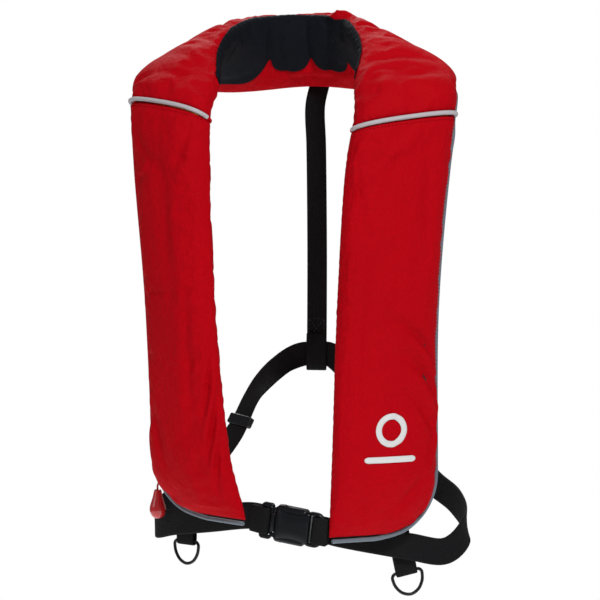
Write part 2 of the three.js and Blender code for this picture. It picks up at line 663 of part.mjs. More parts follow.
const lanyardPath = [
  leverEye.clone().lerp(eyelet, 0.14).add(v3(0, 0, -1)),
  leverEye.clone().lerp(eyelet, 0.6),
  eyelet.clone(),
  eyelet.clone().addScaledVector(eyeletOut, 5),
  eyelet.clone().lerp(handleTop, 0.7).add(v3(-2, 5, 4)),
  handleTop.clone().add(v3(0, 0, 5)),
  handleTop.clone().add(v3(0, 0, -3)),
];
piece("pull_lanyard", tube(new THREE.CatmullRomCurve3(lanyardPath), LANYARD_RADIUS, 18, 6), RED_PLASTIC);
const H = HANDLE_RADIUS;
piece(
  "pull_handle",
  combine(
    turned([
      [0, -HANDLE_LENGTH],
      [0.55 * H, 1 - HANDLE_LENGTH],
      [0.9 * H, 5 - HANDLE_LENGTH],
      [H, 10 - HANDLE_LENGTH],
      [0.92 * H, 16 - HANDLE_LENGTH],
      [0.6 * H, -10],
      [0.48 * H, -3],
      [0.4 * H, 0],
      [0, 0],
    ]),
    { cut: [rod([0, 0, -4], [0, 0, 1], LANYARD_RADIUS + GAP, 8)] },
  ).translate(...handleTop.toArray()),
  RED_PLASTIC,
);

// The mouth inflation tube, high in the left lobe, with its valve, cap and whistle.
const MOUTHPIECE = { below: 186, across: -6, ahead: FRONT_BULGE - 15 }; // below the shoulder seam
const mouthpieceDistance = SEAM_DISTANCE - MOUTHPIECE.below;
const mouthpiece = lobeFrame("left", mouthpieceDistance, MOUTHPIECE.across, MOUTHPIECE.ahead);
const ring = (inner, outer, low, high) => [
  [inner, low],
  [outer, low],
  [outer, high],
  [inner, high],
  [inner, low],
];
const BORE = TUBE_RADIUS - 1.6;
piece("mouth_tube", turned(ring(BORE, TUBE_RADIUS, 0, TUBE_LENGTH), 16), BLACK_RUBBER, mouthpiece);
const FOOT_RADIUS = 12;
const FOOT_DROP = -8; // the middle of the foot below the tube's end
piece(
  "tube_foot",
  combine(rod([0, -11, FOOT_DROP], [0, -9, FOOT_DROP], FOOT_RADIUS, 18), {
    add: [
      rod([0, -10, FOOT_DROP], [0, 4, FOOT_DROP], TUBE_RADIUS, 14),
      rod([0, 0, FOOT_DROP - 1], [0, 0, 6], BORE - GAP, 14),
      rod([0, 0, FOOT_DROP], [0, 0, -GAP], TUBE_RADIUS, 14),
    ],
  }),
  BLACK_RUBBER,
  mouthpiece,
);
const VALVE = { plug: BORE - GAP, head: 7.6, rise: 7, bore: 2.6, stem: 0.9, lift: 3 };
const T = TUBE_LENGTH;
piece(
  "valve_body",
  turned([
    [VALVE.bore, T + VALVE.rise],
    [VALVE.stem + GAP, T + VALVE.rise],
    [VALVE.stem + GAP, T + VALVE.rise + 1],
    [VALVE.head - 1.5, T + VALVE.rise + 1],
    [VALVE.head, T + VALVE.rise - 1],
    [VALVE.head, T + GAP],
    [VALVE.plug, T + GAP],
    [VALVE.plug, T - 9],
    [VALVE.stem + 0.8, T - 9],
    [VALVE.stem + 0.8, T - 7],
    [VALVE.bore, T - 7],
    [VALVE.bore, T + VALVE.rise],
  ].reverse(), 16),
  BLACK_PLASTIC,
  mouthpiece,
);
piece(
  "valve_poppet",
  turned([
    [0, T - 12],
    [3.4, T - 12],
    [3.4, T - 9 - GAP],
    [VALVE.stem, T - 9 - GAP],
    [VALVE.stem, T + VALVE.rise + 4],
    [0, T + VALVE.rise + 4],
  ], 12),
  RED_PLASTIC,
  mouthpiece,
);
piece("valve_spring", coil(1.85, 0.3, T - 6, T + VALVE.rise - 1, 5), STEEL, mouthpiece);
piece(
  "dust_cap",
  turned([
    [0, T + VALVE.rise + 8],
    [0, T + VALVE.rise + 6],
    [VALVE.head + GAP, T + VALVE.rise + 6],
    [VALVE.head + GAP, T + 1],
    [VALVE.head + 2, T + 1],
    [VALVE.head + 2, T + VALVE.rise + 7],
    [VALVE.head + 1, T + VALVE.rise + 8],
    [0, T + VALVE.rise + 8],
  ], 16),
  RED_PLASTIC,
  mouthpiece,
);
const WHISTLE = { x: -24, y: 2, z: 40, width: 16, height: 46, thickness: 9, eye: 18.5 };
const BREATH = { half: 5.5, y: 2.2 }; // the whistle's air way
piece(
  "whistle",
  combine(slab(roundedRect(WHISTLE.x, WHISTLE.z, WHISTLE.width, WHISTLE.height, 5), WHISTLE.thickness, 1), {
    cut: [
      block(
        [WHISTLE.x - BREATH.half, -BREATH.y, WHISTLE.z - WHISTLE.height / 2 - 1],
        [WHISTLE.x + BREATH.half, BREATH.y, WHISTLE.z + 8],
      ),
      block(
        [WHISTLE.x - BREATH.half, 0, WHISTLE.z - 2],
        [WHISTLE.x + BREATH.half, WHISTLE.thickness / 2 + 1, WHISTLE.z + 4],
      ),
      rod([WHISTLE.x, -6, WHISTLE.z + WHISTLE.eye], [WHISTLE.x, 6, WHISTLE.z + WHISTLE.eye], 2, 10),
    ],
  }).translate(0, WHISTLE.y, 0),
  ORANGE_PLASTIC,
  mouthpiece,
);
const whistleCord = [
  [WHISTLE.x, WHISTLE.y - 6, WHISTLE.z + WHISTLE.eye],
  [WHISTLE.x, WHISTLE.y, WHISTLE.z + WHISTLE.eye],
  [WHISTLE.x, WHISTLE.y + 6, WHISTLE.z + WHISTLE.eye],
  [WHISTLE.x + 3, WHISTLE.y + 7, WHISTLE.z + 24],
  [WHISTLE.x + 12, WHISTLE.y + 2, WHISTLE.z + 34],
  [-TUBE_RADIUS - 2, 0, WHISTLE.z + 30],
  [-TUBE_RADIUS - 1.6, 0, WHISTLE.z + 10],
].map((p) => v3(...p));
const whistleLanyard = tube(new THREE.CatmullRomCurve3(whistleCord), 0.9, 20, 6);
piece("whistle_lanyard", whistleLanyard, YELLOW_BLADDER, mouthpiece);

// The folded bladder fills both lobes and the collar, with room left for the fittings.
const roomFor = (frame, lo, hi) => block(lo, hi).applyMatrix4(frame);
piece(
  "bladder",
  combine(loft(bladderRings), {
    cut: [
      roomFor(inflator, [-BODY.x - 22, -R - 1, -40], [LEVER.arm + 12, 40, CYLINDER_LENGTH + 24]),
      roomFor(mouthpiece, [-38, -11 - GAP, -24], [14, 40, TUBE_LENGTH + 34]),
    ],
  }),
  YELLOW_BLADDER,
);

// ---------------------------------------------------------------- webbing
// Where a strip through the stations [point, direction across the strip] lies at t, from 0 to 1.
const pathThrough = (stations) =>
  new THREE.CatmullRomCurve3(stations.map(([p]) => v3(...p)), false, "centripetal");
function stripAt(stations, t) {
  const path = pathThrough(stations);
  const s = t * (stations.length - 1);
  const k = Math.min(Math.floor(s), stations.length - 2);
  const along = path.getTangent(t);
  const across = v3(...stations[k][1]).lerp(v3(...stations[k + 1][1]), s - k);
  across.addScaledVector(along, -across.dot(along)).normalize();
  return { centre: path.getPoint(t), along, across, out: along.clone().cross(across) };
}

function webbing(stations, width, steps, thickness = WEBBING) {
  const corners = [v2(-1, -1), v2(1, -1), v2(1, 1), v2(-1, 1)];
  return loft(
    Array.from({ length: steps + 1 }, (_, i) => {
      const { centre, across, out } = stripAt(stations, i / steps);
      const place = (p) =>
        centre
          .clone()
          .addScaledVector(across, (p.x * width) / 2)
          .addScaledVector(out, (p.y * thickness) / 2);
      return { outline: corners, place };
    }),
  );
}

const buckle = new THREE.Matrix4()
  .makeRotationZ(-deg(BUCKLE_YAW))
  .multiply(new THREE.Matrix4().makeRotationY(deg(BUCKLE_TILT)))
  .setPosition(11.5, 22 - CHEST_DEPTH, -6 - LOBE_DROP);
const fromBuckle = (x, y, z = 0) => v3(x, y, z).applyMatrix4(buckle).toArray();
const UP = [0, 0, 1];
const JUNCTION = [-3.5, 122.5, -BACK_STRAP_DROP]; // where the back strap meets the belt
const [jx, jy, jz] = JUNCTION;

// A place on the belt behind the lobes: climb is 0 at the hems' height and 1 at the junction's.
const climbing = (x, y, climb) => [x, y, THREE.MathUtils.lerp(-LOBE_DROP, jz, climb)];
const rightBelt = [
  [fromBuckle(-36, 8.2), UP],
  [fromBuckle(-50, 8.2), UP],
  [besideHem("right", 0.592, 24.5, -10).toArray(), UP],
  [besideHem("right", 1.049, 26.2, -20).toArray(), UP],
  [besideHem("right", 1.394, 38.3, -29).toArray(), UP],
  [climbing(-168, 18, -0.1), [-0.3, 0, 1]],
  [climbing(-130, 45, 0.15), [-0.6, 0.3, 1]],
  [climbing(-94, 58, 0.43), [-0.6, 0.8, 0.9]],
  [climbing(-73, 80, 0.72), [-0.5, 1.2, 0.9]],
  [climbing(-44, 112, 0.93), [-0.3, 0.7, 1]],
  [[jx - 17, jy, jz], UP],
  [[jx - GAP / 2, jy, jz], UP],
];
const leftBelt = [
  [fromBuckle(32, 8.6), UP],
  [fromBuckle(46, 7.6), UP],
  [besideHem("left", 0.429, 21.3, -24).toArray(), UP],
  [besideHem("left", 0.816, 15.7, -34).toArray(), UP],
  [besideHem("left", 1.176, 16.5, -42).toArray(), [0, 0.2, 1]],
  [climbing(FLANK_HALF, -18, -0.15), [-0.2, 0.3, 1]],
  [climbing(FLANK_HALF - 16, 34, -0.01), [0.2, 0.2, 1]],
  [climbing(FLANK_HALF - 50, 78, 0.105), [0.3, 0.3, 1]],
  [climbing(FLANK_HALF - 94, 105, 0.38), [0.6, 0.4, 1]],
  [climbing(FLANK_HALF - 138, 117, 0.76), [0.6, 0.2, 1]],
  [[jx + 17, jy, jz], UP],
  [[jx + GAP / 2, jy, jz], UP],
];
piece("belt_right", webbing(rightBelt, BELT_WIDTH, 48), BLACK_WEBBING);
piece("belt_left", webbing(leftBelt, BELT_WIDTH, 42), BLACK_WEBBING);

const ACROSS = [1, 0, 0];
const LOOP_DEPTH = 2.6; // from the belt's middle to each side of the loop round it
const beltHalf = BELT_WIDTH / 2;
const backStrap = [
  [[jx - 2, COLLAR_RISE + 50, -19], ACROSS],
  [[jx - 1, jy + 4, -80], ACROSS],
  [[jx, jy + 5, -200], ACROSS],
  [[jx, jy + 4, jz + beltHalf + 25], ACROSS],
  [[jx, jy + LOOP_DEPTH, jz + beltHalf - 5], ACROSS],
  [[jx, jy + LOOP_DEPTH, jz - beltHalf + 1], ACROSS],
  [[jx, jy, jz - beltHalf - 4], ACROSS],
  [[jx, jy - LOOP_DEPTH, jz - beltHalf + 1], ACROSS],
  [[jx, jy - LOOP_DEPTH, jz + beltHalf - 5], ACROSS],
  [[jx, jy, jz + beltHalf + 11], ACROSS],
];
piece("back_strap", webbing(backStrap, BACK_STRAP_WIDTH, 42), BLACK_WEBBING);

// The keeper that slides on the belt to hold its loose end, behind the wearer's right side.
const KEEPER = { at: 0.665, length: 13, wall: 2.4, clearance: 1.1 };
const keeper = stripAt(rightBelt, KEEPER.at);
const keeperFrame = new THREE.Matrix4()
  .makeBasis(keeper.along, keeper.out.negate(), keeper.across)
  .setPosition(keeper.centre);
const keeperHole = { y: WEBBING / 2 + KEEPER.clearance, z: BELT_WIDTH / 2 + 0.8 };
const keeperShape = roundedRect(0, 0, KEEPER.length, 2 * (keeperHole.z + KEEPER.wall), 2.5);
const throughKeeper = block(
  [-KEEPER.length, -keeperHole.y, -keeperHole.z],
  [KEEPER.length, keeperHole.y, keeperHole.z],
);
piece(
  "belt_keeper",
  combine(slab(keeperShape, 2 * (keeperHole.y + 1.6), 0.6), { cut: [throughKeeper] }),
  BLACK_PLASTIC,
  keeperFrame,
);

// ---------------------------------------------------------------- buckle
// Along x from the plug's end to the socket's end, z up, with y to the wearer.
const END = BUCKLE_LENGTH / 2;
const TALL = BUCKLE_HEIGHT / 2;
const MOUTH = -18.5; // where the socket begins
const SHELL = 17.5; // where its round body ends and its bar frame begins
const CAVITY = { end: 12, z: TALL - 3, y: 4.4 };
const FRAME_HALF = 2.6; // half thickness of the plug's frame
const ROOT = -22; // where the plug's frame ends and its arms begin
const SLOT = BELT_WIDTH + 1.6;
const PAD = { from: MOUTH, to: -7, out: TALL + 0.8 };
const ARM = { low: 12, high: 16, tip: 6, half: 3.4 };

const socketShape = roundedRect((MOUTH + SHELL) / 2, 0, SHELL - MOUTH, BUCKLE_HEIGHT, 4);
const barShape = roundedRect((SHELL + END) / 2 - 2, 0, END - SHELL + 4, BUCKLE_HEIGHT - 2, 9);
const BAR_SLOT = { from: SHELL + 4, to: SHELL + 10 };
const socket = combine(slab(socketShape, BUCKLE_THICKNESS, 2.2), {
  add: [slab(barShape, 6.4, 1)],
  cut: [
    block([MOUTH - 1, -CAVITY.y, -CAVITY.z], [CAVITY.end, CAVITY.y, CAVITY.z]),
    block([MOUTH - 1, -CAVITY.y, -TALL - 1], [PAD.to + 3 * GAP, CAVITY.y, TALL + 1]),
    block([BAR_SLOT.from, -5, -SLOT / 2], [BAR_SLOT.to, 5, SLOT / 2]),
  ],
});
piece("buckle_socket", socket, BLACK_PLASTIC, buckle);

const plugShape = roundedRect((ROOT - END) / 2, 0, ROOT + END, BUCKLE_HEIGHT, 4);
const INNER_SLOT = { from: -28.2, to: -24 };
const OUTER_SLOT = { from: -33.8, to: -31 };
const plug = combine(slab(plugShape, 2 * FRAME_HALF, 0.8), {
  add: [
    block([ROOT - 1.5, 0.3 - FRAME_HALF, -2.6], [CAVITY.end - 8, FRAME_HALF - 0.3, 2.6]),
  ],
  cut: [
    block([INNER_SLOT.from, -5, -SLOT / 2], [INNER_SLOT.to, 5, SLOT / 2]),
    block([OUTER_SLOT.from, -5, -SLOT / 2], [OUTER_SLOT.to, 5, SLOT / 2]),
  ],
});
piece("buckle_plug", plug, BLACK_PLASTIC, buckle);

for (const [name, flip] of [["upper", 1], ["lower", -1]]) {
  const outline = [
    v2(ROOT + GAP, ARM.low),
    v2(ARM.tip - 3, ARM.low),
    v2(ARM.tip, ARM.low + 1.6),
    v2(ARM.tip - 4, ARM.high),
    v2(PAD.to, ARM.high + 0.4),
    v2(PAD.to, PAD.out - 2),
    v2(PAD.to - 2.5, PAD.out),
    v2(PAD.from + 2.5, PAD.out - 0.5),
    v2(PAD.from, ARM.high + 1),
    v2(ROOT + GAP, ARM.high),
  ].map((p) => v2(p.x, flip * p.y));
  piece(`buckle_arm_${name}`, slab(outline, 2 * ARM.half, 0.6), BLACK_PLASTIC, buckle);
}

// Webbing folded round a bar of the buckle: end is the x where both layers run out.
function foldedLoop(turnX, barX, end, depth) {
  const toEnd = Math.sign(end - turnX);
  const half = [
    [end, 1.2],
    [barX + toEnd * 5, depth * 0.75],
    [barX, depth],
    [turnX + toEnd * 2.2, depth],
  ];
  const stations = [...half, [turnX, 0], ...half.map(([x, y]) => [x, -y]).reverse()];
  return webbing(stations.map(([x, y]) => [[x, y, 0], UP]), BELT_WIDTH, 24, 1.5).applyMatrix4(buckle);
}
piece("plug_loop", foldedLoop(-25.7, -END, -48, 4.2), BLACK_WEBBING);
piece("socket_loop", foldedLoop(SHELL + 6.2, END, 41, 4.8), BLACK_WEBBING);

// ---------------------------------------------------------------- D-rings
// A ring in its own frame: the bar lies along x at the origin, and the bow hangs below it.
function dRing() {
  const half = (RING_INSIDE + RING_WIRE) / 2;
  const bow = new THREE.CatmullRomCurve3(
    [
      [-half, -0.5],
      [-half, -7],
      [-half * 0.9, -RING_HEIGHT * 0.6],
      [-half * 0.55, -RING_HEIGHT * 0.93],
      [0, -RING_HEIGHT - RING_WIRE / 2],
      [half * 0.55, -RING_HEIGHT * 0.93],
      [half * 0.9, -RING_HEIGHT * 0.6],
      [half, -7],
      [half, -0.5],
    ].map(([x, z]) => v3(x, 0, z)),
  );
  return combine(tube(bow, RING_WIRE / 2, 22, 6), {
    add: [rod([-half - 1, 0, 0], [half + 1, 0, 0], RING_WIRE / 2, 8)],
  });
}

// A tab runs from the lobe's back, over the belt's top edge and down behind the belt, round the
// ring's bar and back up. The frame has x along the belt, y to the wearer, and its origin is the
// middle of the bar.
function hangingRing(side, origin, yaw, roll, rise, reach) {
  const frame = new THREE.Matrix4()
    .makeRotationZ(deg(yaw))
    .multiply(new THREE.Matrix4().makeRotationY(deg(roll)))
    .setPosition(...origin);
  const r = RING_WIRE / 2 + GAP + WEBBING / 2;
  const stations = [
    [0, -r - reach, rise + 18],
    [0, -r - reach * 0.5, rise + 10],
    [0, -r, rise],
    [0, -r, 6],
    [0, -r * 0.7, -r * 0.7],
    [0, 0, -r],
    [0, r * 0.7, -r * 0.7],
    [0, r, 0],
    [0, r, rise - 8],
  ].map((p) => [p, ACROSS]);
  piece(`ring_tab_${side}`, webbing(stations, TAB_WIDTH, 30), BLACK_WEBBING, frame);
  piece(`d_ring_${side}`, dRing(), BLACK_METAL, frame);
}
hangingRing("right", besideHem("right", 0.938, 33.7, -41).toArray(), -24, 0, 48, 8);
hangingRing("left", besideHem("left", 0.827, 26.4, -64).toArray(), 20, -12, 52, 8);

export default jacket;
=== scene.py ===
# %% [markdown]
# # An inflatable life jacket
# The CAD frame holds every part of the jacket where it belongs. This lesson dresses it: the cloth is
# stuffed and wrinkled, the webbing woven, the plastic softened at its edges, and each gets a finish.
# All sizes are in metres, +Z is up, and the wearer faces -Y.

# %% Load the frame
import json
import math

import bmesh
import bpy
import numpy as np
from mathutils import Matrix, Vector


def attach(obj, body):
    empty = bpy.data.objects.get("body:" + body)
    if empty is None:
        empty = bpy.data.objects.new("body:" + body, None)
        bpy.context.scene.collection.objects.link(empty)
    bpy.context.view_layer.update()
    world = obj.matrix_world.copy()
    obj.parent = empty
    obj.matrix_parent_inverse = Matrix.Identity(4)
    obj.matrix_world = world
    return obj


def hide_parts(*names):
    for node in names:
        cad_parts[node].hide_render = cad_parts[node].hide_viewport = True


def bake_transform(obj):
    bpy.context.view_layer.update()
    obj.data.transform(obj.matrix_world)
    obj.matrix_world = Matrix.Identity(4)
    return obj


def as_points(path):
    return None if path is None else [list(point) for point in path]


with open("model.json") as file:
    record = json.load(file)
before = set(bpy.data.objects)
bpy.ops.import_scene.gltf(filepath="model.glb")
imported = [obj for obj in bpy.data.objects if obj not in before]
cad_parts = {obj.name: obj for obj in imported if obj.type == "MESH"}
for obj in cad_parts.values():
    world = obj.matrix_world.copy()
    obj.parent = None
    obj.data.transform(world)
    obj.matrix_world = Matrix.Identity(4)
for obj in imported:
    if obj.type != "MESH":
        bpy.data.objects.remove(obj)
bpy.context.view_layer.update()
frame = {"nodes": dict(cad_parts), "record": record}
nodes = frame["nodes"]
scene = bpy.context.scene

# %% [markdown]
# ## The camera
# A long lens from a little to the wearer's left keeps the jacket's sides nearly parallel. A shorter
# lens from closer would make the buckle look bigger than the collar.

# %% Place the camera
LOOK_AT = Vector((0, 0, -0.255))
AZIMUTH, ELEVATION, DISTANCE = math.radians(10), math.radians(2), 1.9
camera = bpy.data.objects.new("camera", bpy.data.cameras.new("camera"))
camera.data.sensor_width, camera.data.lens = 36, 98.4
camera.data.shift_x, camera.data.shift_y = -0.0033, -0.0133
back = Vector((math.sin(AZIMUTH), -math.cos(AZIMUTH), math.tan(ELEVATION))).normalized()
camera.location = LOOK_AT + back * DISTANCE
camera.rotation_euler = (-back).to_track_quat("-Z", "Y").to_euler()
scene.collection.objects.link(camera)
scene.camera = camera

# %% [markdown]
# ## Shader maths
# A finish is a web of nodes. Wiring it by hand takes ten lines a node, so a socket is wrapped in a
# small class whose + - * / add the Math nodes, and one method makes every other node.

# %% Wires and finishes
class Wire:
    """The output of a node, which takes part in sums as a number would."""

    def __init__(self, finish, socket):
        self.finish, self.socket = finish, socket

    def __add__(self, other):
        return self.finish.math("ADD", self, other)

    def __sub__(self, other):
        return self.finish.math("SUBTRACT", self, other)

    def __rsub__(self, other):
        return self.finish.math("SUBTRACT", other, self)

    def __mul__(self, other):
        return self.finish.math("MULTIPLY", self, other)

    def __truediv__(self, other):
        return self.finish.math("DIVIDE", self, other)

    __radd__, __rmul__ = __add__, __mul__


class Finish:
    """A material with one Principled shader; constants go on the shader's own sockets."""

    def __init__(self, name, constants):
        self.material = bpy.data.materials.new(name)
        self.material.use_nodes = True
        self.tree = self.material.node_tree
        self.shader = self.tree.nodes["Principled BSDF"]
        for key, value in constants.items():
            self.put(self.shader.inputs[key], value)

    def put(self, socket, value):
        if isinstance(value, Wire):
            self.tree.links.new(value.socket, socket)
        else:
            socket.default_value = value

    def node(self, kind, settings=None, inputs=None, output=0):
        made = self.tree.nodes.new("ShaderNode" + kind)
        for key, value in (settings or {}).items():
            setattr(made, key, value)
        for key, value in (inputs or {}).items():
            self.put(made.inputs[key], value)
        return Wire(self, made.outputs[output])

    def math(self, operation, *values):
        return self.node("Math", {"operation": operation}, dict(enumerate(values)))

    def mixed(self, factor, low, high):
        """A colour between low and high."""
        inputs = {0: factor, 6: (*low, 1), 7: (*high, 1)}
        return self.node("Mix", {"data_type": "RGBA"}, inputs, output=2)

    def coordinates(self, kind):
        return self.node("TexCoord", output={"Object": 3, "UV": 2}[kind])

    def noise(self, scale, detail=3, kind="Object", stretch=(1, 1, 1)):
        place = self.node("Mapping", inputs={"Vector": self.coordinates(kind), "Scale": stretch})
        inputs = {"Vector": place, "Scale": scale, "Detail": detail}
        return self.node("TexNoise", inputs=inputs, output="Fac")

    def bumps(self, height, distance, strength=1.0, under=None):
        inputs = {"Height": height, "Distance": distance, "Strength": strength}
        if under is not None:
            inputs["Normal"] = under
        return self.node("Bump", inputs=inputs)

    def along_and_across(self):
        """The piece's own UV map, in metres along it and across it."""
        uv = self.node("SeparateXYZ", inputs={0: self.coordinates("UV")})
        return uv, Wire(self, uv.socket.node.outputs[1])

    def show(self, **looks):
        names = {"colour": "Base Color", "roughness": "Roughness", "normal": "Normal"}
        for key, value in looks.items():
            self.put(self.shader.inputs[names[key]], value)
        return self.material


# %% [markdown]
# ## Woven nylon
# The cover is a plain weave of fine nylon: threads go over and under each other, so its height is the
# product of two waves. The threads are laid out on the UV map, which follows the cloth, so they turn
# with it. A slow noise fades the colour a little and two finer ones give the crumple that a packed
# jacket keeps. The weave and the finest noise also darken the colour in their dips: painted shade
# between the threads and in the crumple's hollows.

# %% Cloth finishes
def woven(name, colour, other_tone, thread, sheen, rough, crumple, fade=9, shine=0.35):
    f = Finish(name, {"Sheen Weight": sheen, "Sheen Roughness": 0.45, "Specular IOR Level": shine})
    u, v = f.along_and_across()
    turns = 2 * math.pi / thread
    weave = f.math("SINE", u * turns) * f.math("SINE", v * turns)
    slow = f.noise(fade, 4)
    fold = f.noise(38, 3, stretch=(1, 1, 0.6))
    fine = f.noise(150, 4)
    bumpy = f.bumps(fold * 0.7 + fine * 0.3, crumple)
    # Slow random fade, plus painted shade: the weave and the fine crumple noise darken the colour in their
    # dips.
    fade_and_painted_shade = slow * 0.75 + weave * 0.06 + fine * 0.2
    return f.show(
        colour=f.mixed(fade_and_painted_shade, other_tone, colour),
        roughness=rough + slow * 0.12 - weave * 0.04,
        normal=f.bumps(weave, thread * 0.18, 0.5, bumpy),
    )


# The second colour of each cloth takes the slow random fade and the painted shade in the weave's gaps and the
# crumple's hollows.
RED_NYLON = woven(
    "red_nylon", (0.56, 0.0010, 0.0070), (0.44, 0.0008, 0.0055), 0.0008, 0.0, 0.60, 0.0050, shine=0.04
)
NAVY_LINING = woven(
    "navy_lining", (0.0062, 0.0085, 0.0145), (0.0030, 0.0038, 0.006), 0.0007, 0.0, 0.66, 0.0030, shine=0.12
)
GREY_PIPING = woven("grey_piping", (0.19, 0.23, 0.28), (0.11, 0.14, 0.17), 0.0006, 0.1, 0.4, 0.0004)
SILVER_TAPE = woven("silver_tape", (0.60, 0.58, 0.60), (0.46, 0.44, 0.46), 0.0005, 0.1, 0.36, 0.0004)
WHITE_PRINT = woven("white_print", (0.86, 0.86, 0.85), (0.74, 0.74, 0.74), 0.0008, 0.0, 0.4, 0.0006)
YELLOW_COATED = woven("yellow_coated", (0.78, 0.50, 0.02), (0.62, 0.38, 0.01), 0.0007, 0.05, 0.38, 0.003)
FASTENING_TAPE = woven("fastening_tape", (0.02, 0.02, 0.022), (0.008, 0.008, 0.009), 0.0011, 0.3, 0.9, 0.001)
BRAIDED_RED = woven("braided_red", (0.5, 0.01, 0.015), (0.3, 0.005, 0.008), 0.0011, 0.1, 0.6, 0.0003)
BRAIDED_YELLOW = woven("braided_yellow", (0.75, 0.52, 0.05), (0.5, 0.33, 0.02), 0.0009, 0.1, 0.6, 0.0003)

# %% [markdown]
# ## Webbing
# Polyester webbing is woven in ribs that run along it, with a slant from rib to rib. Its two edges
# are a tighter, smoother weave: less rough, and painted lighter as a thin highlight line. The colour
# is also darker between the slanting ribs, which is painted shade.

# %% Webbing finish
def ribbed(name, colour, other_tone, rib, width):
    f = Finish(name, {"Specular IOR Level": 0.16})
    u, v = f.along_and_across()
    ribs = f.math("SINE", v * (2 * math.pi / rib))
    slant = f.math("SINE", (u + v * 0.8) * (2 * math.pi / (rib * 0.8)))
    edge = f.math("GREATER_THAN", f.math("ABSOLUTE", v / width - 0.5), 0.46)
    slow = f.noise(20, 3)
    return f.show(
        # Slow random tone, plus painted shade between the slanting ribs and a painted highlight line along
        # both edges.
        colour=f.mixed(slow * 0.8 + slant * 0.15 + edge * 0.2, other_tone, colour),
        roughness=0.6 + slow * 0.2 - edge * 0.1,
        normal=f.bumps(ribs * 0.6 + slant * 0.4, 0.00022, 0.8),
    )


BLACK_WEBBING = ribbed("black_webbing", (0.0065, 0.007, 0.0082), (0.003, 0.003, 0.0036), 0.0021, 0.030)

# %% [markdown]
# ## Plastic, rubber and metal
# A moulded part comes out of a lightly sparked tool: a fine grain in the bump, and a roughness that
# varies where hands have polished it. Metal gets the same fine grain and the same slow variation.

# %% Moulded and metal finishes
def moulded(name, colour, other_tone, rough, grain, coat=0.0, metallic=0.0, shine=0.5):
    constants = {"Metallic": metallic, "Specular IOR Level": shine}
    f = Finish(name, {**constants, "Coat Weight": coat, "Coat Roughness": 0.08})
    slow, fine = f.noise(30, 3), f.noise(900, 2)
    return f.show(
        colour=f.mixed(slow, other_tone, colour),
        roughness=rough + slow * 0.12 + fine * 0.05,
        normal=f.bumps(fine, grain, 0.35),
    )


BLACK_PLASTIC = moulded(
    "black_plastic", (0.0045, 0.0055, 0.0085), (0.003, 0.0035, 0.005), 0.24, 0.0002, shine=0.26
)
RED_PLASTIC = moulded("red_plastic", (0.62, 0.012, 0.016), (0.50, 0.006, 0.010), 0.14, 0.00003, coat=0.6)
GREEN_PLASTIC = moulded("green_plastic", (0.02, 0.30, 0.06), (0.015, 0.22, 0.04), 0.32, 0.0001)
ORANGE_PLASTIC = moulded("orange_plastic", (0.80, 0.17, 0.015), (0.70, 0.12, 0.01), 0.28, 0.0001)
RED_THREAD = moulded("red_thread", (0.36, 0.001, 0.005), (0.26, 0.001, 0.003), 0.7, 0.0001, shine=0.03)
BLACK_THREAD = moulded("black_thread", (0.035, 0.036, 0.04), (0.02, 0.02, 0.022), 0.6, 0.0001)
BLACK_RUBBER = moulded("black_rubber", (0.012, 0.012, 0.013), (0.02, 0.02, 0.021), 0.62, 0.0003)
BLACK_STEEL = moulded("black_steel", (0.004, 0.004, 0.005), (0.007, 0.007, 0.008), 0.30, 0.0001, shine=0.3)
STEEL = moulded("steel", (0.56, 0.56, 0.58), (0.42, 0.42, 0.44), 0.26, 0.00006, metallic=1.0)

SLOT_FINISH = {
    "black_plastic": BLACK_PLASTIC, "red_plastic": RED_PLASTIC, "green_plastic": GREEN_PLASTIC,
    "orange_plastic": ORANGE_PLASTIC, "black_rubber": BLACK_RUBBER, "steel": STEEL,
    "bladder_fabric": YELLOW_COATED, "fastening_tape": FASTENING_TAPE, "cord": BRAIDED_YELLOW,
    "red_cloth": RED_NYLON, "navy_lining": NAVY_LINING, "grey_piping": GREY_PIPING,
    "reflective_piping": SILVER_TAPE, "webbing": BLACK_WEBBING, "ring_metal": BLACK_STEEL,
    "red_cord": BRAIDED_RED,
}

# %% [markdown]
# ## Making a piece
# Every piece ends the same way: its mesh goes into an object at the origin, gets its finish, rides on
# a body of the frame, and says which CAD parts it stands for.

# %% The last step of every piece
def piece(name, bm, finish, body="jacket", stands_for=(), smooth=math.radians(50)):
    mesh = bpy.data.meshes.new(name)
    bm.to_mesh(mesh)
    bm.free()
    mesh.shade_smooth()
    mesh.set_sharp_from_angle(angle=smooth)
    mesh.materials.append(finish)
    made = bpy.data.objects.new(name, mesh)
    scene.collection.objects.link(made)
    if body:
        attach(made, body)
    if stands_for:
        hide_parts(*stands_for)
    return made


def modifier(made, kind, **settings):
    added = made.modifiers.new(kind.lower(), kind)
    for key, value in settings.items():
        setattr(added, key, value)
    return added


# %% [markdown]
# ## Smooth lines
# Straps, cords and the pillow's edges all follow a smooth line through a few points. Centripetal
# Catmull-Rom passes through every point and never loops back, even where points crowd together.

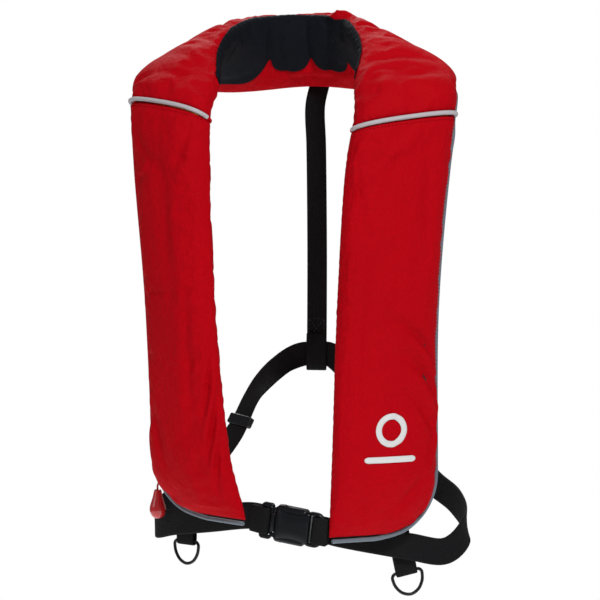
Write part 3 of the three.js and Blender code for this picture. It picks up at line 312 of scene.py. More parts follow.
# %% A route through points
class Route:
    """A smooth line through points, from t = 0 to t = 1."""

    def __init__(self, points):
        p = [Vector(q) for q in points]
        self.points = [2 * p[0] - p[1], *p, 2 * p[-1] - p[-2]]

    def at(self, t):
        spans = len(self.points) - 3
        k = min(int(t * spans), spans - 1)
        u = float(t * spans - k)
        a, b, c, d = self.points[k : k + 4]
        ab, bc, cd = ((q - r).length ** 0.5 for q, r in ((b, a), (c, b), (d, c)))
        start = ((b - a) / ab - (c - a) / (ab + bc) + (c - b) / bc) * bc
        end = ((c - b) / bc - (d - b) / (bc + cd) + (d - c) / cd) * bc
        bend = 3 * (c - b) - 2 * start - end
        twist = 2 * (b - c) + start + end
        return b + u * start + u * u * bend + u**3 * twist

    def along(self, t):
        return (self.at(min(1, t + 1e-4)) - self.at(max(0, t - 1e-4))).normalized()

    def spaced(self, count):
        """Points at even distances along the line."""
        ts = np.linspace(0, 1, 40 * len(self.points))
        fine = [self.at(t) for t in ts]
        steps = [0] + [(q - p).length for p, q in zip(fine, fine[1:])]
        walked = np.cumsum(steps)
        return [self.at(t) for t in np.interp(np.linspace(0, walked[-1], count), walked, ts)]


def length_of(points):
    return sum((Vector(q) - Vector(p)).length for p, q in zip(points, points[1:]))


# %% [markdown]
# ## Wrapping a grid
# A strap, a tube and a pillow are all a flat grid laid on a shape: it is rolled round a line, or
# twisted along one. The grid operator makes the faces, a place() function says where each of its
# points goes, and its UV map keeps the real lengths so that the weave stays to scale.

# %% The wrapping helper
def wrapped(along, across, place, size):
    """A grid of along x across faces, with place(u, v) for its points and a UV map of that size."""
    bm = bmesh.new()
    bmesh.ops.create_grid(bm, x_segments=along, y_segments=across, size=0.5)
    uv = bm.loops.layers.uv.new("cloth")
    for face in bm.faces:
        for loop in face.loops:
            loop[uv].uv = ((loop.vert.co.x + 0.5) * size[0], (loop.vert.co.y + 0.5) * size[1])
    for vert in bm.verts:
        vert.co = place(vert.co.x + 0.5, vert.co.y + 0.5)
    return bm


def closed(bm, gap=1e-6):
    """Welds a rolled grid along its seam, closes its ends and turns its faces outwards."""
    bmesh.ops.remove_doubles(bm, verts=bm.verts, dist=gap)
    rims = [e for e in bm.edges if e.is_boundary]
    if rims:
        bmesh.ops.holes_fill(bm, edges=rims, sides=0)
    bmesh.ops.recalc_face_normals(bm, faces=bm.faces)
    return bm


def frames_along(points):
    """For each point, the direction of the line and two directions square to it, without twist."""
    last = len(points) - 1
    ahead = [(points[min(i + 1, last)] - points[max(i - 1, 0)]).normalized() for i in range(last + 1)]
    side = ahead[0].orthogonal().normalized()
    found = []
    for a in ahead:
        side = (side - a * side.dot(a)).normalized()
        found.append((a, side, a.cross(side)))
    return found


def tube(points, radius, around=12):
    """A round rod along points, its ends closed flat."""
    frames = frames_along(points)
    last = len(points) - 1

    def place(u, v):
        i = round(u * last)
        _, side, up = frames[i]
        angle = 2 * math.pi * v
        return points[i] + radius * (math.cos(angle) * side + math.sin(angle) * up)

    size = (length_of(points), 2 * math.pi * radius)
    return closed(wrapped(last, around, place, size))


# %% [markdown]
# ## The two cords
# The pull cord leaves the firing lever, comes out of an eyelet behind the lobe and ends in the red
# handle. The whistle's cord is looped round the mouth tube inside the left lobe. Both are thin braid,
# so a tube along the route of the CAD part is enough.

# %% Pull cord and whistle cord
PULL_ROUTE = [
    (-0.12529, -0.10075, -0.44301), (-0.13067, -0.08916, -0.45030), (-0.13534, -0.07908, -0.45751),
    (-0.13700, -0.07437, -0.45721), (-0.15321, -0.05795, -0.46925), (-0.15801, -0.05604, -0.47500),
    (-0.15801, -0.05604, -0.48300),
]
WHISTLE_ROUTE = [
    (0.12421, -0.12128, -0.20308), (0.12550, -0.12064, -0.18312), (0.13089, -0.12165, -0.17936),
    (0.14059, -0.12045, -0.18987), (0.14212, -0.11796, -0.19550), (0.13851, -0.11316, -0.19542),
    (0.13491, -0.10836, -0.19534),
]
PULL_RADIUS, WHISTLE_RADIUS = 0.0011, 0.0009


def braid(name, route, radius, finish, body, node):
    points = Route(route).spaced(40)
    made = piece(name, tube(points, radius, 10), finish, body, [node])
    print(f"{name}: {length_of(points) * 1000:.0f} mm long")
    return made, points


pull_cord, pull_points = braid(
    "pull_cord", PULL_ROUTE, PULL_RADIUS, BRAIDED_RED, "handle", "pull_lanyard"
)
whistle_cord, whistle_points = braid(
    "whistle_cord", WHISTLE_ROUTE, WHISTLE_RADIUS, BRAIDED_YELLOW, "jacket", "whistle_lanyard"
)

# %% [markdown]
# ## The horseshoe
# The jacket is one pillow bent like a horseshoe: up the right chest, round the neck, down the left.
# Ten stations give its inner edge, its width and the way that the width turns, and the two edges are
# smooth routes through them. A place on it is then a distance from the right hem and an angle round
# the section: 0 at the outer edge, 90 in front, 180 at the inner edge, 270 behind.

# %% Stations and sections
LOBE_DROP, LEFT_SAG, RIGHT_TURN = 0.498, 0.017, 6
FRONT_BULGE, BACK_BULGE, COLLAR_THINNING = 0.025, 0.015, 0.78
HEM_TAPER, SQUARENESS = 0.080, 2.6
CORNER = {"right": (0.072, 0.050), "left": (0.066, 0.066)}  # how wide and how tall each hem corner is
# half, lean, y, z, width, yaw, dip, turn
STATIONS = [
    (0.049, 0.0055, -0.142, -LOBE_DROP, 0.122, 29, 0, 0.3),
    (0.058, 0.0015, -0.150, -0.84 * LOBE_DROP, 0.121, 33, 0, 0.7),
    (0.069, -0.0035, -0.152, -0.52 * LOBE_DROP, 0.120, 37, 0, 1),
    (0.076, -0.003, -0.142, -0.23 * LOBE_DROP, 0.120, 33, -2, 0.7),
    (0.080, -0.0015, -0.124, -0.062, 0.121, 30, -9, 0.5),
    (0.077, -0.0035, -0.084, -0.022, 0.115, 23, 4, 0),
    (0.080, -0.008, -0.036, 0.018, 0.109, 17, 20, 0),
    (0.068, -0.014, 0.014, 0.050, 0.104, 28, 38, 0),
    (0.049, -0.015, 0.052, 0.067, 0.100, 48, 55, 0),
    (0.0, -0.007, 0.082, 0.074, 0.090, 90, 65, 0),
]


def smooth(x):
    x = min(1.0, max(0.0, x))
    return x * x * (3 - 2 * x)


def edges_at(station, sign):
    """The inner and outer edge at a station, on the wearer's right (-1) or left (1)."""
    half, lean, y, z, width, yaw, dip, turn = station
    sag = LEFT_SAG * smooth(-z / LOBE_DROP) if sign > 0 else 0
    yaw = math.radians(yaw + (turn * RIGHT_TURN if sign < 0 else 0))
    dip = math.radians(dip)
    inner = Vector((sign * half + lean, y, z - sag))
    across = Vector((sign * math.cos(dip) * math.cos(yaw), math.cos(dip) * math.sin(yaw), -math.sin(dip)))
    return inner, inner + across * width


both_edges = [edges_at(s, -1) for s in STATIONS[:-1]] + [edges_at(s, 1) for s in reversed(STATIONS)]
inner_edge = Route([inner for inner, _ in both_edges])
outer_edge = Route([outer for _, outer in both_edges])
STEPS = 600
middles = [inner_edge.at(i / STEPS).lerp(outer_edge.at(i / STEPS), 0.5) for i in range(STEPS + 1)]
walked = np.cumsum([0] + [(q - p).length for p, q in zip(middles, middles[1:])])
WHOLE = float(walked[-1])
SEAM = float(walked[round(4 / (2 * len(STATIONS) - 2) * STEPS)])
print(f"horseshoe {WHOLE * 1000:.0f} mm long, shoulder seams {SEAM * 1000:.0f} mm from each hem")


class Section:
    """The pillow's section at a distance along the horseshoe."""

    def __init__(self, distance):
        t = float(np.interp(distance, walked, np.linspace(0, 1, STEPS + 1)))
        inner, outer = inner_edge.at(t), outer_edge.at(t)
        width = (outer - inner).length
        self.across = (outer - inner).normalized()
        ends = [inner_edge.at(q).lerp(outer_edge.at(q), 0.5) for q in (max(0, t - 1e-3), min(1, t + 1e-3))]
        self.ahead = (ends[1] - ends[0]).cross(self.across).normalized()
        self.middle = inner.lerp(outer, 0.5)
        from_hem = min(distance, WHOLE - distance)
        wide, tall = CORNER["right" if distance < WHOLE / 2 else "left"]
        cut = wide * (1 - math.sqrt(1 - max(0, 1 - from_hem / tall) ** 2))
        flare = 0.009 * smooth(1 - distance / 0.075)
        self.half = (width - cut + flare) / 2
        self.shift = -(cut + flare) / 2
        self.lobe = 1 - smooth((from_hem - SEAM) / 0.02)
        full = 1 - (1 - COLLAR_THINNING) * smooth((from_hem - SEAM) / (WHOLE / 2 - SEAM))
        taper = math.sin(math.pi / 2 * min(1, from_hem / HEM_TAPER)) ** 0.6
        self.front, self.behind = FRONT_BULGE * full * taper, BACK_BULGE * full * taper

    def at(self, angle, lift=0.0):
        c, s = math.cos(math.radians(angle)), math.sin(math.radians(angle))
        bulge = self.front if s > 0 else self.behind
        away = min(angle % 360, 360 - angle % 360)
        seam = 1 - 0.5 * self.lobe * math.exp(-((away / 16) ** 2))
        x = self.shift + math.copysign((self.half + lift) * abs(c) ** (2 / SQUARENESS), c)
        y = math.copysign((bulge + lift) * seam * abs(s) ** (2 / SQUARENESS), s)
        return self.middle + self.across * x + self.ahead * y


# %% [markdown]
# ## Stuffed cloth
# A lobe is a cover over a folded bladder. Its shape could be sculpted by hand, but real cloth finds
# its own wrinkles: the pad starts a little slack inside its outline, its seams are pinned, and the
# cloth simulation blows it up. Each point may move a few millimetres only, which keeps the outline.

# %% Pads and their simulation
CELL = 0.0042


class Pad:
    """A length of the horseshoe as rows of points round it."""

    AROUND = 84

    def __init__(self, name, start, end):
        self.name, self.start, self.end = name, start, end
        self.rows = round((end - start) / CELL)
        self.distances = np.linspace(start, end, self.rows + 1)
        self.angles = np.linspace(0, 360, self.AROUND + 1)[:-1]
        sections = [Section(d) for d in self.distances]
        self.points = np.array([[s.at(a) for a in self.angles] for s in sections])

    def bmesh(self):
        def place(u, v):
            return Vector(self.points[round(u * self.rows), round(v * self.AROUND) % self.AROUND])

        girth = float(np.linalg.norm(np.diff(self.points[self.rows // 2], axis=0), axis=1).sum())
        bm = wrapped(self.rows, self.AROUND, place, (self.end - self.start, girth))
        row, column = (bm.verts.layers.int.new(n) for n in ("row", "column"))
        bm.verts.ensure_lookup_table()
        wide = self.rows + 1
        for i, vert in enumerate(bm.verts):
            vert[row], vert[column] = i % wide, (i // wide) % self.AROUND
        return closed(bm, 2e-5)

    def normals(self):
        down = np.gradient(self.points, axis=0)
        ring = np.roll(self.points, -1, axis=1) - np.roll(self.points, 1, axis=1)
        n = np.cross(ring, down)
        n /= np.linalg.norm(n, axis=2, keepdims=True) + 1e-12
        outwards = self.points - self.points.mean(axis=1, keepdims=True)
        return n * np.sign((n * outwards).sum())

    def blow_up(self, pinned, most, spare=0.045, pressure=4.0):
        """Runs the cloth and moves no point further than most, nor more than 1 mm inwards."""
        bm = self.bmesh()
        mesh = bpy.data.meshes.new("blown")
        bm.to_mesh(mesh)
        bm.free()
        cloth = bpy.data.objects.new("blown", mesh)
        scene.collection.objects.link(cloth)
        held = cloth.vertex_groups.new(name="seams")
        row, column = (np.array([x.value for x in mesh.attributes[n].data]) for n in ("row", "column"))
        for i in range(len(mesh.vertices)):
            weight = pinned(self.distances[row[i]], self.angles[column[i]])
            if weight > 0:
                held.add([i], weight, "REPLACE")
        sim = cloth.modifiers.new("cloth", "CLOTH")
        c = sim.settings
        c.quality, c.mass, c.air_damping = 5, 0.15, 2
        c.tension_stiffness, c.compression_stiffness, c.shear_stiffness = 15, 10, 5
        c.bending_stiffness, c.vertex_group_mass = 0.35, "seams"
        c.shrink_min, c.use_pressure, c.uniform_pressure_force = -spare, True, pressure
        c.effector_weights.gravity = 0
        sim.collision_settings.use_collision = False
        for f in range(1, 21):
            scene.frame_set(f)
        found = cloth.evaluated_get(bpy.context.evaluated_depsgraph_get())
        moved = np.array([v.co for v in found.data.vertices]) - self.points[row, column]
        far = np.linalg.norm(moved, axis=1, keepdims=True)
        moved *= np.minimum(1, most / np.maximum(far, 1e-9))
        outwards = self.normals()[row, column]
        sunk = np.minimum(0, (moved * outwards).sum(axis=1, keepdims=True) + 0.001)
        moved -= outwards * sunk
        self.points[row, column] += moved
        print(f"{self.name}: the cloth moved {far.mean() * 1000:.1f} mm on average")
        scene.frame_set(1)
        bpy.data.objects.remove(cloth)

    def press(self, folds):
        """Raises or sinks soft ridges, each from one (distance, angle) to another, with width and height."""
        n = self.normals()
        scale = np.array([1.0, 0.0011])
        here = np.stack(np.meshgrid(self.distances, self.angles, indexing="ij"), axis=-1) * scale
        lift = np.zeros(here.shape[:2])
        for start, end, width, height in folds:
            a, b = np.array(start) * scale, np.array(end) * scale
            t = np.clip(((here - a) @ (b - a)) / ((b - a) @ (b - a)), 0, 1)
            off = np.linalg.norm(here - (a + t[..., None] * (b - a)), axis=-1)
            fading = 0.35 + 0.65 * np.sin(np.pi * np.clip(t, 0.08, 0.92))
            lift += height * np.exp(-((off / width) ** 2)) * fading
        self.points += n * lift[..., None]

    def at(self, distance, angle, lift=0.0):
        """A point on the finished pad, or that far off its surface."""
        if not hasattr(self, "ways"):
            self.ways = self.normals()
        r = np.clip((distance - self.start) / (self.end - self.start), 0, 1) * self.rows
        c = (angle % 360) / 360 * self.AROUND
        i, j = min(int(r), self.rows - 1), int(c) % self.AROUND
        k, fr, fc = (j + 1) % self.AROUND, r - i, c - int(c)
        found = []
        for grid in (self.points, self.ways):
            low = grid[i, j] * (1 - fc) + grid[i, k] * fc
            high = grid[i + 1, j] * (1 - fc) + grid[i + 1, k] * fc
            found.append(low * (1 - fr) + high * fr)
        return Vector(found[0]) + Vector(found[1]).normalized() * lift


# %% [markdown]
# ## The lobes and the collar
# Three pads meet at the shoulder seams. The lobes are pinned along the outer edge, where front and
# back are sewn together with the piping, along the hem, and at the shoulder seam.

# %% Blow up the three pads
def edge_hold(angle, width):
    away = min(angle % 360, 360 - angle % 360)
    return max(0.0, 1 - (away / width) ** 2)


def lobe_hold(distance, angle):
    from_hem = min(distance, WHOLE - distance)
    ends = max(smooth(1 - from_hem / 0.012), smooth(1 - (SEAM - from_hem) / 0.012))
    return max(ends, edge_hold(angle, 14), 0.8 * edge_hold(angle - 180, 26))


def collar_hold(distance, angle):
    from_seam = min(distance - SEAM, WHOLE - SEAM - distance)
    return max(smooth(1 - from_seam / 0.012), 0.7 * edge_hold(angle - 180, 20))


GAP = 0.0002
lobe_right = Pad("lobe_right", 0, SEAM - GAP)
collar = Pad("collar", SEAM + GAP, WHOLE - SEAM - GAP)
lobe_left = Pad("lobe_left", WHOLE - SEAM + GAP, WHOLE)
lobe_right.blow_up(lobe_hold, 0.0035, spare=0.03)
lobe_left.blow_up(lobe_hold, 0.0035, spare=0.03)
collar.blow_up(collar_hold, 0.004, spare=0.05)

# %% Press the folds that the belt and the packing leave
LEFT = WHOLE
FOLDS_LEFT = [
    # start, end, width and height; the left hem is at the far end of the horseshoe
    ((LEFT - 0.235, 92), (LEFT - 0.190, 34), 0.0055, -0.0030),
    ((LEFT - 0.222, 86), (LEFT - 0.178, 32), 0.0060, 0.0028),
    ((LEFT - 0.198, 84), (LEFT - 0.150, 30), 0.0055, -0.0028),
    ((LEFT - 0.184, 78), (LEFT - 0.140, 32), 0.0060, 0.0024),
    ((LEFT - 0.160, 80), (LEFT - 0.112, 34), 0.0050, -0.0020),
    ((LEFT - 0.300, 116), (LEFT - 0.130, 122), 0.0080, -0.0014),
    ((LEFT - 0.420, 70), (LEFT - 0.300, 62), 0.0090, -0.0014),
    ((LEFT - 0.405, 150), (LEFT - 0.330, 128), 0.0070, -0.0016),
    ((LEFT - 0.062, 60), (LEFT - 0.030, 84), 0.0060, -0.0022),
    ((LEFT - 0.050, 120), (LEFT - 0.022, 104), 0.0060, -0.0018),
]
FOLDS_RIGHT = [
    ((0.175, 172), (0.120, 142), 0.0050, -0.0028),
    ((0.152, 174), (0.096, 140), 0.0055, 0.0024),
    ((0.130, 174), (0.072, 138), 0.0050, -0.0028),
    ((0.104, 170), (0.052, 136), 0.0050, 0.0020),
    ((0.082, 168), (0.036, 132), 0.0050, -0.0026),
    ((0.250, 130), (0.110, 118), 0.0080, -0.0016),
    ((0.390, 98), (0.240, 106), 0.0090, -0.0014),
    ((0.200, 50), (0.120, 40), 0.0070, -0.0018),
    ((0.120, 66), (0.060, 80), 0.0070, -0.0018),
    ((0.425, 60), (0.370, 100), 0.0070, -0.0016),
    ((0.425, 140), (0.375, 112), 0.0070, -0.0014),
]
DEEPER = 2.3


def deeper(folds):
    return [(start, end, width, height * DEEPER) for start, end, width, height in folds]


lobe_left.press(deeper(FOLDS_LEFT))
lobe_right.press(deeper(FOLDS_RIGHT))
NAPE, TUCK_STEP = WHOLE / 2, 0.060  # the middle of the collar, and the tucks' spacing
LINING_LOW, TUCK_DEPTH = 292, 17
TUCKS = [(NAPE + k * TUCK_STEP, LINING_LOW - TUCK_DEPTH) for k in (-1, 0, 1)]
PEAK = NAPE + TUCK_STEP  # the collar stands up in a peak over the tuck on the wearer's left
FOLDS_COLLAR = [((d, a + 34), (d - 0.006, 212), 0.0048, -0.0034) for d, a in TUCKS]
FOLDS_COLLAR += [((d - 0.030, 304), (d - 0.012, 296), 0.012, 0.0022) for d, _ in TUCKS]
FOLDS_COLLAR += [
    ((PEAK - 0.008, 184), (PEAK + 0.012, 158), 0.010, 0.0088), ((0.585, 176), (0.565, 160), 0.014, 0.0034),
    ((0.690, 186), (0.720, 186), 0.014, 0.0014), ((0.640, 182), (0.655, 182), 0.012, 0.0012),
    ((0.500, 70), (0.470, 120), 0.0080, -0.0018), ((0.540, 80), (0.500, 140), 0.0080, -0.0018),
    ((0.975, 70), (1.010, 110), 0.0080, -0.0018), ((0.940, 84), (0.985, 140), 0.0080, -0.0018),
    ((0.850, 90), (0.900, 150), 0.0090, -0.0018), ((0.620, 80), (0.640, 150), 0.0090, -0.0018),
    ((0.862, 78), (0.868, 156), 0.0060, -0.0030), ((0.905, 76), (0.912, 152), 0.0060, -0.0032),
    ((0.945, 70), (0.955, 146), 0.0060, -0.0030), ((0.985, 66), (0.990, 130), 0.0060, -0.0026),
    ((0.610, 100), (0.600, 160), 0.0060, -0.0030), ((0.560, 96), (0.548, 158), 0.0060, -0.0028),
    ((0.720, 60), (0.725, 140), 0.0090, -0.0018), ((0.790, 70), (0.800, 140), 0.0090, -0.0016),
]
collar.press(FOLDS_COLLAR)

# %% Show the pads
for pad, stands_for in (
    (lobe_right, ["cover_front_right", "back_panel_right"]),
    (lobe_left, ["cover_front_left", "back_panel_left"]),
    (collar, ["collar_cover"]),
):
    made = piece(pad.name, pad.bmesh(), RED_NYLON, stands_for=stands_for, smooth=math.pi)
    modifier(made, "SUBSURF", levels=1, render_levels=1)
    print(f"{pad.name}: {len(made.data.polygons)} faces before the subdivision")

# %% [markdown]
# ## The lining
# A dark brushed cloth lines the side that touches the neck. It is laid on the finished collar, a
# little off its surface, so that it takes every fold of the pad. Its lower edge is scalloped, where
# the red cloth below it puffs up between three tucks.

# %% Lay the lining on the collar
LINING_START, LINING_END = collar.start + 0.045, collar.end - 0.070


def lining_top(distance):
    level, peak = math.exp(-(((distance - NAPE) / 0.10) ** 2)), math.exp(-(((distance - PEAK) / 0.018) ** 2))
    return 170 + 9 * level + 16 * peak


def lining_low(distance):
    tucked = sum((303 - a) * math.exp(-abs((distance - d) / 0.010) ** 1.3) for d, a in TUCKS)
    deeper_right = 13 * smooth((NAPE - TUCK_STEP - distance) / 0.03)
    deeper_left = 6 * smooth((distance - PEAK) / 0.03)
    low = LINING_LOW + deeper_right + deeper_left - 0.75 * tucked
    right_end = smooth((LINING_START + 0.066 - distance) / 0.06)
    left_end = smooth((distance - LINING_END + 0.072) / 0.06)
    return low - 80 * (right_end + left_end)


def on_collar(u, v):
    d = LINING_START + u * (LINING_END - LINING_START)
    return collar.at(d, lining_top(d) + v * (lining_low(d) - lining_top(d)), 0.0009)


lining_bm = wrapped(170, 32, on_collar, (LINING_END - LINING_START, 0.105))
lining_area = sum(f.calc_area() for f in lining_bm.faces)
lining = piece("collar_lining_cloth", lining_bm, NAVY_LINING, stands_for=["collar_lining"],
               smooth=math.pi)
modifier(lining, "SOLIDIFY", thickness=0.0012, offset=0)
modifier(lining, "SUBSURF", levels=1, render_levels=1)
flat = (LINING_END - LINING_START + 0.02, lining_area / (LINING_END - LINING_START) * 1.05)
lining_area * 1.01
print(f"lining: cut from {flat[0] * 1000:.0f} x {flat[1] * 1000:.0f} mm, {lining_area * 1e4:.0f} square cm")

# %% [markdown]
# ## Closure tapes
# A cover opens along its outer edge when the bladder fills. Two tapes hold it shut until then: hooks
# inside the front, loops inside the back. Each is a narrow strip, half a centimetre under the cloth.

# %% Lay the closure tapes
TAPE_SPAN = {"right": (0.085, SEAM - 0.03), "left": (WHOLE - SEAM + 0.03, WHOLE - 0.085)}
for side, (start, end) in TAPE_SPAN.items():
    for kind, near, far in (("hook", 30, 52), ("loop", -30, -52)):
        def on_tape(u, v):
            return Section(start + u * (end - start)).at(near + v * (far - near), -0.0055)

        made = piece(f"closure_{kind}_{side}", wrapped(80, 4, on_tape, (end - start, 0.016)), FASTENING_TAPE,
                     stands_for=[f"{kind}_tape_{side}"], smooth=math.pi)
        modifier(made, "SOLIDIFY", thickness=0.0012, offset=0)
        print(f"closure_{kind}_{side}: {(end - start) * 1000:.0f} mm")

# %% [markdown]
# ## Piping
# A cord in a folded tape is sewn into each seam. On the outer edges and hems it is a grey tube, and
# across the front of each shoulder a slightly thicker silver one. Behind, the seam has a red welt.

# %% Sew in the piping
PIPING, SHOULDER_PIPING = 0.0023, 0.0024


PAST_SEAM = 0.055  # how far the edge piping runs up beyond the shoulder seam


def edge_piping(side):
    hem_at = (lambda d: d) if side == "right" else (lambda d: WHOLE - d)
    outline = []
    for d in np.linspace(SEAM + PAST_SEAM, 0, 70):
        s = Section(hem_at(d))
        outline.append((s.middle + s.across * (s.shift + s.half), s.ahead))
    s = Section(hem_at(0))
    for share in np.linspace(0.93, -0.95, 24):
        outline.append((s.middle + s.across * (s.shift + share * s.half), s.ahead))
    turn = -1 if side == "left" else 1
    points = []
    for i, (p, ahead) in enumerate(outline):
        way = outline[min(i + 1, len(outline) - 1)][0] - outline[max(i - 1, 0)][0]
        proud = 0.2 if i < 9 else 1.35
        points.append(p + way.cross(ahead).normalized() * turn * PIPING * proud)
    return Route(points[::2]).spaced(150)


for side in ("right", "left"):
    d = SEAM if side == "right" else WHOLE - SEAM
    behind = [Section(d).at(a, -0.0006) for a in np.linspace(176, 366, 60)]
    piece(f"seam_welt_{side}", tube(Route(behind).spaced(90), 0.0024, 12), RED_NYLON)
    piece(
        f"piping_edge_{side}", tube(edge_piping(side), PIPING, 12), GREY_PIPING,
        stands_for=[f"edge_piping_{side}"],
    )
    seam = Section(d)
    across = [seam.at(a, SHOULDER_PIPING * 0.55) for a in np.linspace(8, 176, 48)]
    piece(
        f"piping_shoulder_{side}", tube(Route(across).spaced(70), SHOULDER_PIPING, 16), SILVER_TAPE,
        stands_for=[f"shoulder_piping_{side}"],
    )

# %% [markdown]
# ## Belt, back strap and tabs
# Webbing bends one way and twists slowly. Each strap is a grid laid along a route, turned by a
# direction given at each station, and the Solidify modifier gives it its thickness.

# %% Straps
BELT_WIDTH, STRAP_WIDTH, TAB_WIDTH, WEBBING = 0.030, 0.025, 0.024, 0.0018
UP, ACROSS = (0, 0, 1), (1, 0, 0)


def strap_at(stations, route, t):
    s = t * (len(stations) - 1)
    k = min(int(s), len(stations) - 2)
    along = route.along(t)
    across = Vector(stations[k][1]).lerp(Vector(stations[k + 1][1]), s - k)
    across = (across - along * across.dot(along)).normalized()
    return route.at(t), along, across


def strap(name, stations, width, body, stands_for, thickness=WEBBING, steps=160, turned=None):
    route = Route([p for p, _ in stations])
    length = length_of(route.spaced(200))

    def place(u, v):
        centre, along, across = strap_at(stations, route, u)
        p = centre + across * (v - 0.5) * width
        return turned @ p if turned else p

    bm = wrapped(steps, 8, place, (length, width))
    made = piece(name, bm, BLACK_WEBBING, body, stands_for, smooth=math.pi)
    modifier(made, "SOLIDIFY", thickness=thickness, offset=0)
    modifier(made, "SUBSURF", levels=1, render_levels=1)
    print(f"{name}: {length * 1000:.0f} mm of webbing")
    return made


CHEST_DEPTH, BACK_STRAP_DROP, FLANK_HALF, LOOP_DEPTH = 0.150, 0.336, 0.192, 0.0026
SIGN = {"right": -1, "left": 1}


def turned_frame(yaw, lean, origin):
    """A frame at origin, leaned about Y and then turned about Z, in degrees."""
    turn = Matrix.Rotation(math.radians(yaw), 4, "Z") @ Matrix.Rotation(math.radians(lean), 4, "Y")
    return Matrix.Translation(origin) @ turn


BUCKLE = turned_frame(-10, 7.5, (0.0115, 0.022 - CHEST_DEPTH, -0.006 - LOBE_DROP))


def beside_hem(side, share, behind, z):
    """A place level with a hem: share is 0 at its inner corner and 1 at its outer edge."""
    inner, outer = edges_at(STATIONS[0], SIGN[side])
    away = Vector((inner.y - outer.y, outer.x - inner.x, 0)).normalized() * SIGN[side]
    p = inner.lerp(outer, share) + away * behind
    return Vector((p.x, p.y, z - LOBE_DROP))


def from_buckle(x, y):
    return BUCKLE @ Vector((x, y, 0))


JUNCTION = Vector((-0.0035, 0.1225, -BACK_STRAP_DROP))  # where the back strap meets the belt


def climbing(x, y, climb):
    """A place behind the lobes: climb is 0 at the hems' height and 1 at the junction's."""
    return Vector((x, y, -LOBE_DROP + climb * (JUNCTION.z + LOBE_DROP)))


def by_junction(x, y=0.0, z=0.0):
    return JUNCTION + Vector((x, y, z))


BELT_RIGHT = [
    (from_buckle(-0.036, 0.0082), UP), (from_buckle(-0.050, 0.0082), UP),
    (beside_hem("right", 0.592, 0.0245, -0.010), UP), (beside_hem("right", 1.049, 0.0262, -0.020), UP),
    (beside_hem("right", 1.394, 0.0383, -0.029), UP), (climbing(-0.168, 0.018, -0.10), (-0.3, 0, 1)),
    (climbing(-0.130, 0.045, 0.15), (-0.6, 0.3, 1)), (climbing(-0.094, 0.058, 0.43), (-0.6, 0.8, 0.9)),
    (climbing(-0.073, 0.080, 0.72), (-0.5, 1.2, 0.9)), (climbing(-0.044, 0.112, 0.93), (-0.3, 0.7, 1)),
    (by_junction(-0.017), UP), (by_junction(-GAP), UP),
]
BELT_LEFT = [
    (from_buckle(0.032, 0.0086), UP), (from_buckle(0.046, 0.0076), UP),
    (beside_hem("left", 0.429, 0.0213, -0.024), UP), (beside_hem("left", 0.816, 0.0157, -0.034), UP),
    (beside_hem("left", 1.176, 0.0165, -0.042), (0, 0.2, 1)),
    (climbing(FLANK_HALF, -0.018, -0.15), (-0.2, 0.3, 1)),
    (climbing(FLANK_HALF - 0.016, 0.034, -0.01), (0.2, 0.2, 1)),
    (climbing(FLANK_HALF - 0.050, 0.078, 0.105), (0.3, 0.3, 1)),
    (climbing(FLANK_HALF - 0.094, 0.105, 0.38), (0.6, 0.4, 1)),
    (climbing(FLANK_HALF - 0.138, 0.117, 0.76), (0.6, 0.2, 1)),
    (by_junction(0.017), UP), (by_junction(GAP), UP),
]
BELT_HALF = BELT_WIDTH / 2
BACK_STRAP = [
    (collar.at(NAPE, 44, 0.0012), ACROSS), (collar.at(NAPE, 16, 0.0014), ACROSS),
    (Vector((-0.0055, 0.1250, -0.030)), ACROSS), (Vector((-0.0045, 0.1265, -0.080)), ACROSS),
    (Vector((-0.0035, 0.1275, -0.200)), ACROSS), (by_junction(0, 0.004, BELT_HALF + 0.025), ACROSS),
    (by_junction(0, LOOP_DEPTH, BELT_HALF - 0.005), ACROSS),
    (by_junction(0, LOOP_DEPTH, 0.001 - BELT_HALF), ACROSS), (by_junction(0, 0, -BELT_HALF - 0.004), ACROSS),
    (by_junction(0, -LOOP_DEPTH, 0.001 - BELT_HALF), ACROSS),
    (by_junction(0, -LOOP_DEPTH, BELT_HALF - 0.005), ACROSS), (by_junction(0, 0, BELT_HALF + 0.011), ACROSS),
]
belt_right = strap("belt_right_webbing", BELT_RIGHT, BELT_WIDTH, None, ["belt_right"])
loose = BELT_RIGHT[2][0].lerp(BELT_RIGHT[3][0], 0.6)
tuple(BELT_RIGHT[1][0])
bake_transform(belt_right)
strap("belt_left_webbing", BELT_LEFT, BELT_WIDTH, "jacket", ["belt_left"])
strap("back_strap_webbing", BACK_STRAP, STRAP_WIDTH, "jacket", ["back_strap"])

# %% Webbing folded round the buckle's bars
def folded(turn_x, bar_x, end_x, depth):
    to_end = math.copysign(1, end_x - turn_x)
    half = [
        (end_x, 0.0012), (bar_x + to_end * 0.005, depth * 0.75), (bar_x, depth),
        (turn_x + to_end * 0.0022, depth),
    ]
    both = [*half, (turn_x, 0), *[(x, -y) for x, y in reversed(half)]]
    return [((x, y, 0), UP) for x, y in both]


strap("plug_loop_webbing", folded(-0.0257, -0.0365, -0.048, 0.0042), BELT_WIDTH, "buckle_plug",
      ["plug_loop"], 0.0015, 60, BUCKLE)
strap("socket_loop_webbing", folded(0.0237, 0.0365, 0.041, 0.0048), BELT_WIDTH, "jacket",
      ["socket_loop"], 0.0015, 60, BUCKLE)

# %% [markdown]
# ## D-rings
# Each ring is one bent wire: a straight bar held by the tab, and a bow below it. A closed tube along
# a D-shaped route makes it, and the tab is a strap that turns round the bar.

# %% Rings and their tabs
RINGS = {
    "right": turned_frame(-24, 0, beside_hem("right", 0.938, 0.0337, -0.041)),
    "left": turned_frame(20, -12, beside_hem("left", 0.827, 0.0264, -0.064)),
}
RING_HALF, RING_HEIGHT, RING_WIRE = 0.0168, 0.024, 0.0018
TAB_RISE = {"right": 0.048, "left": 0.052}


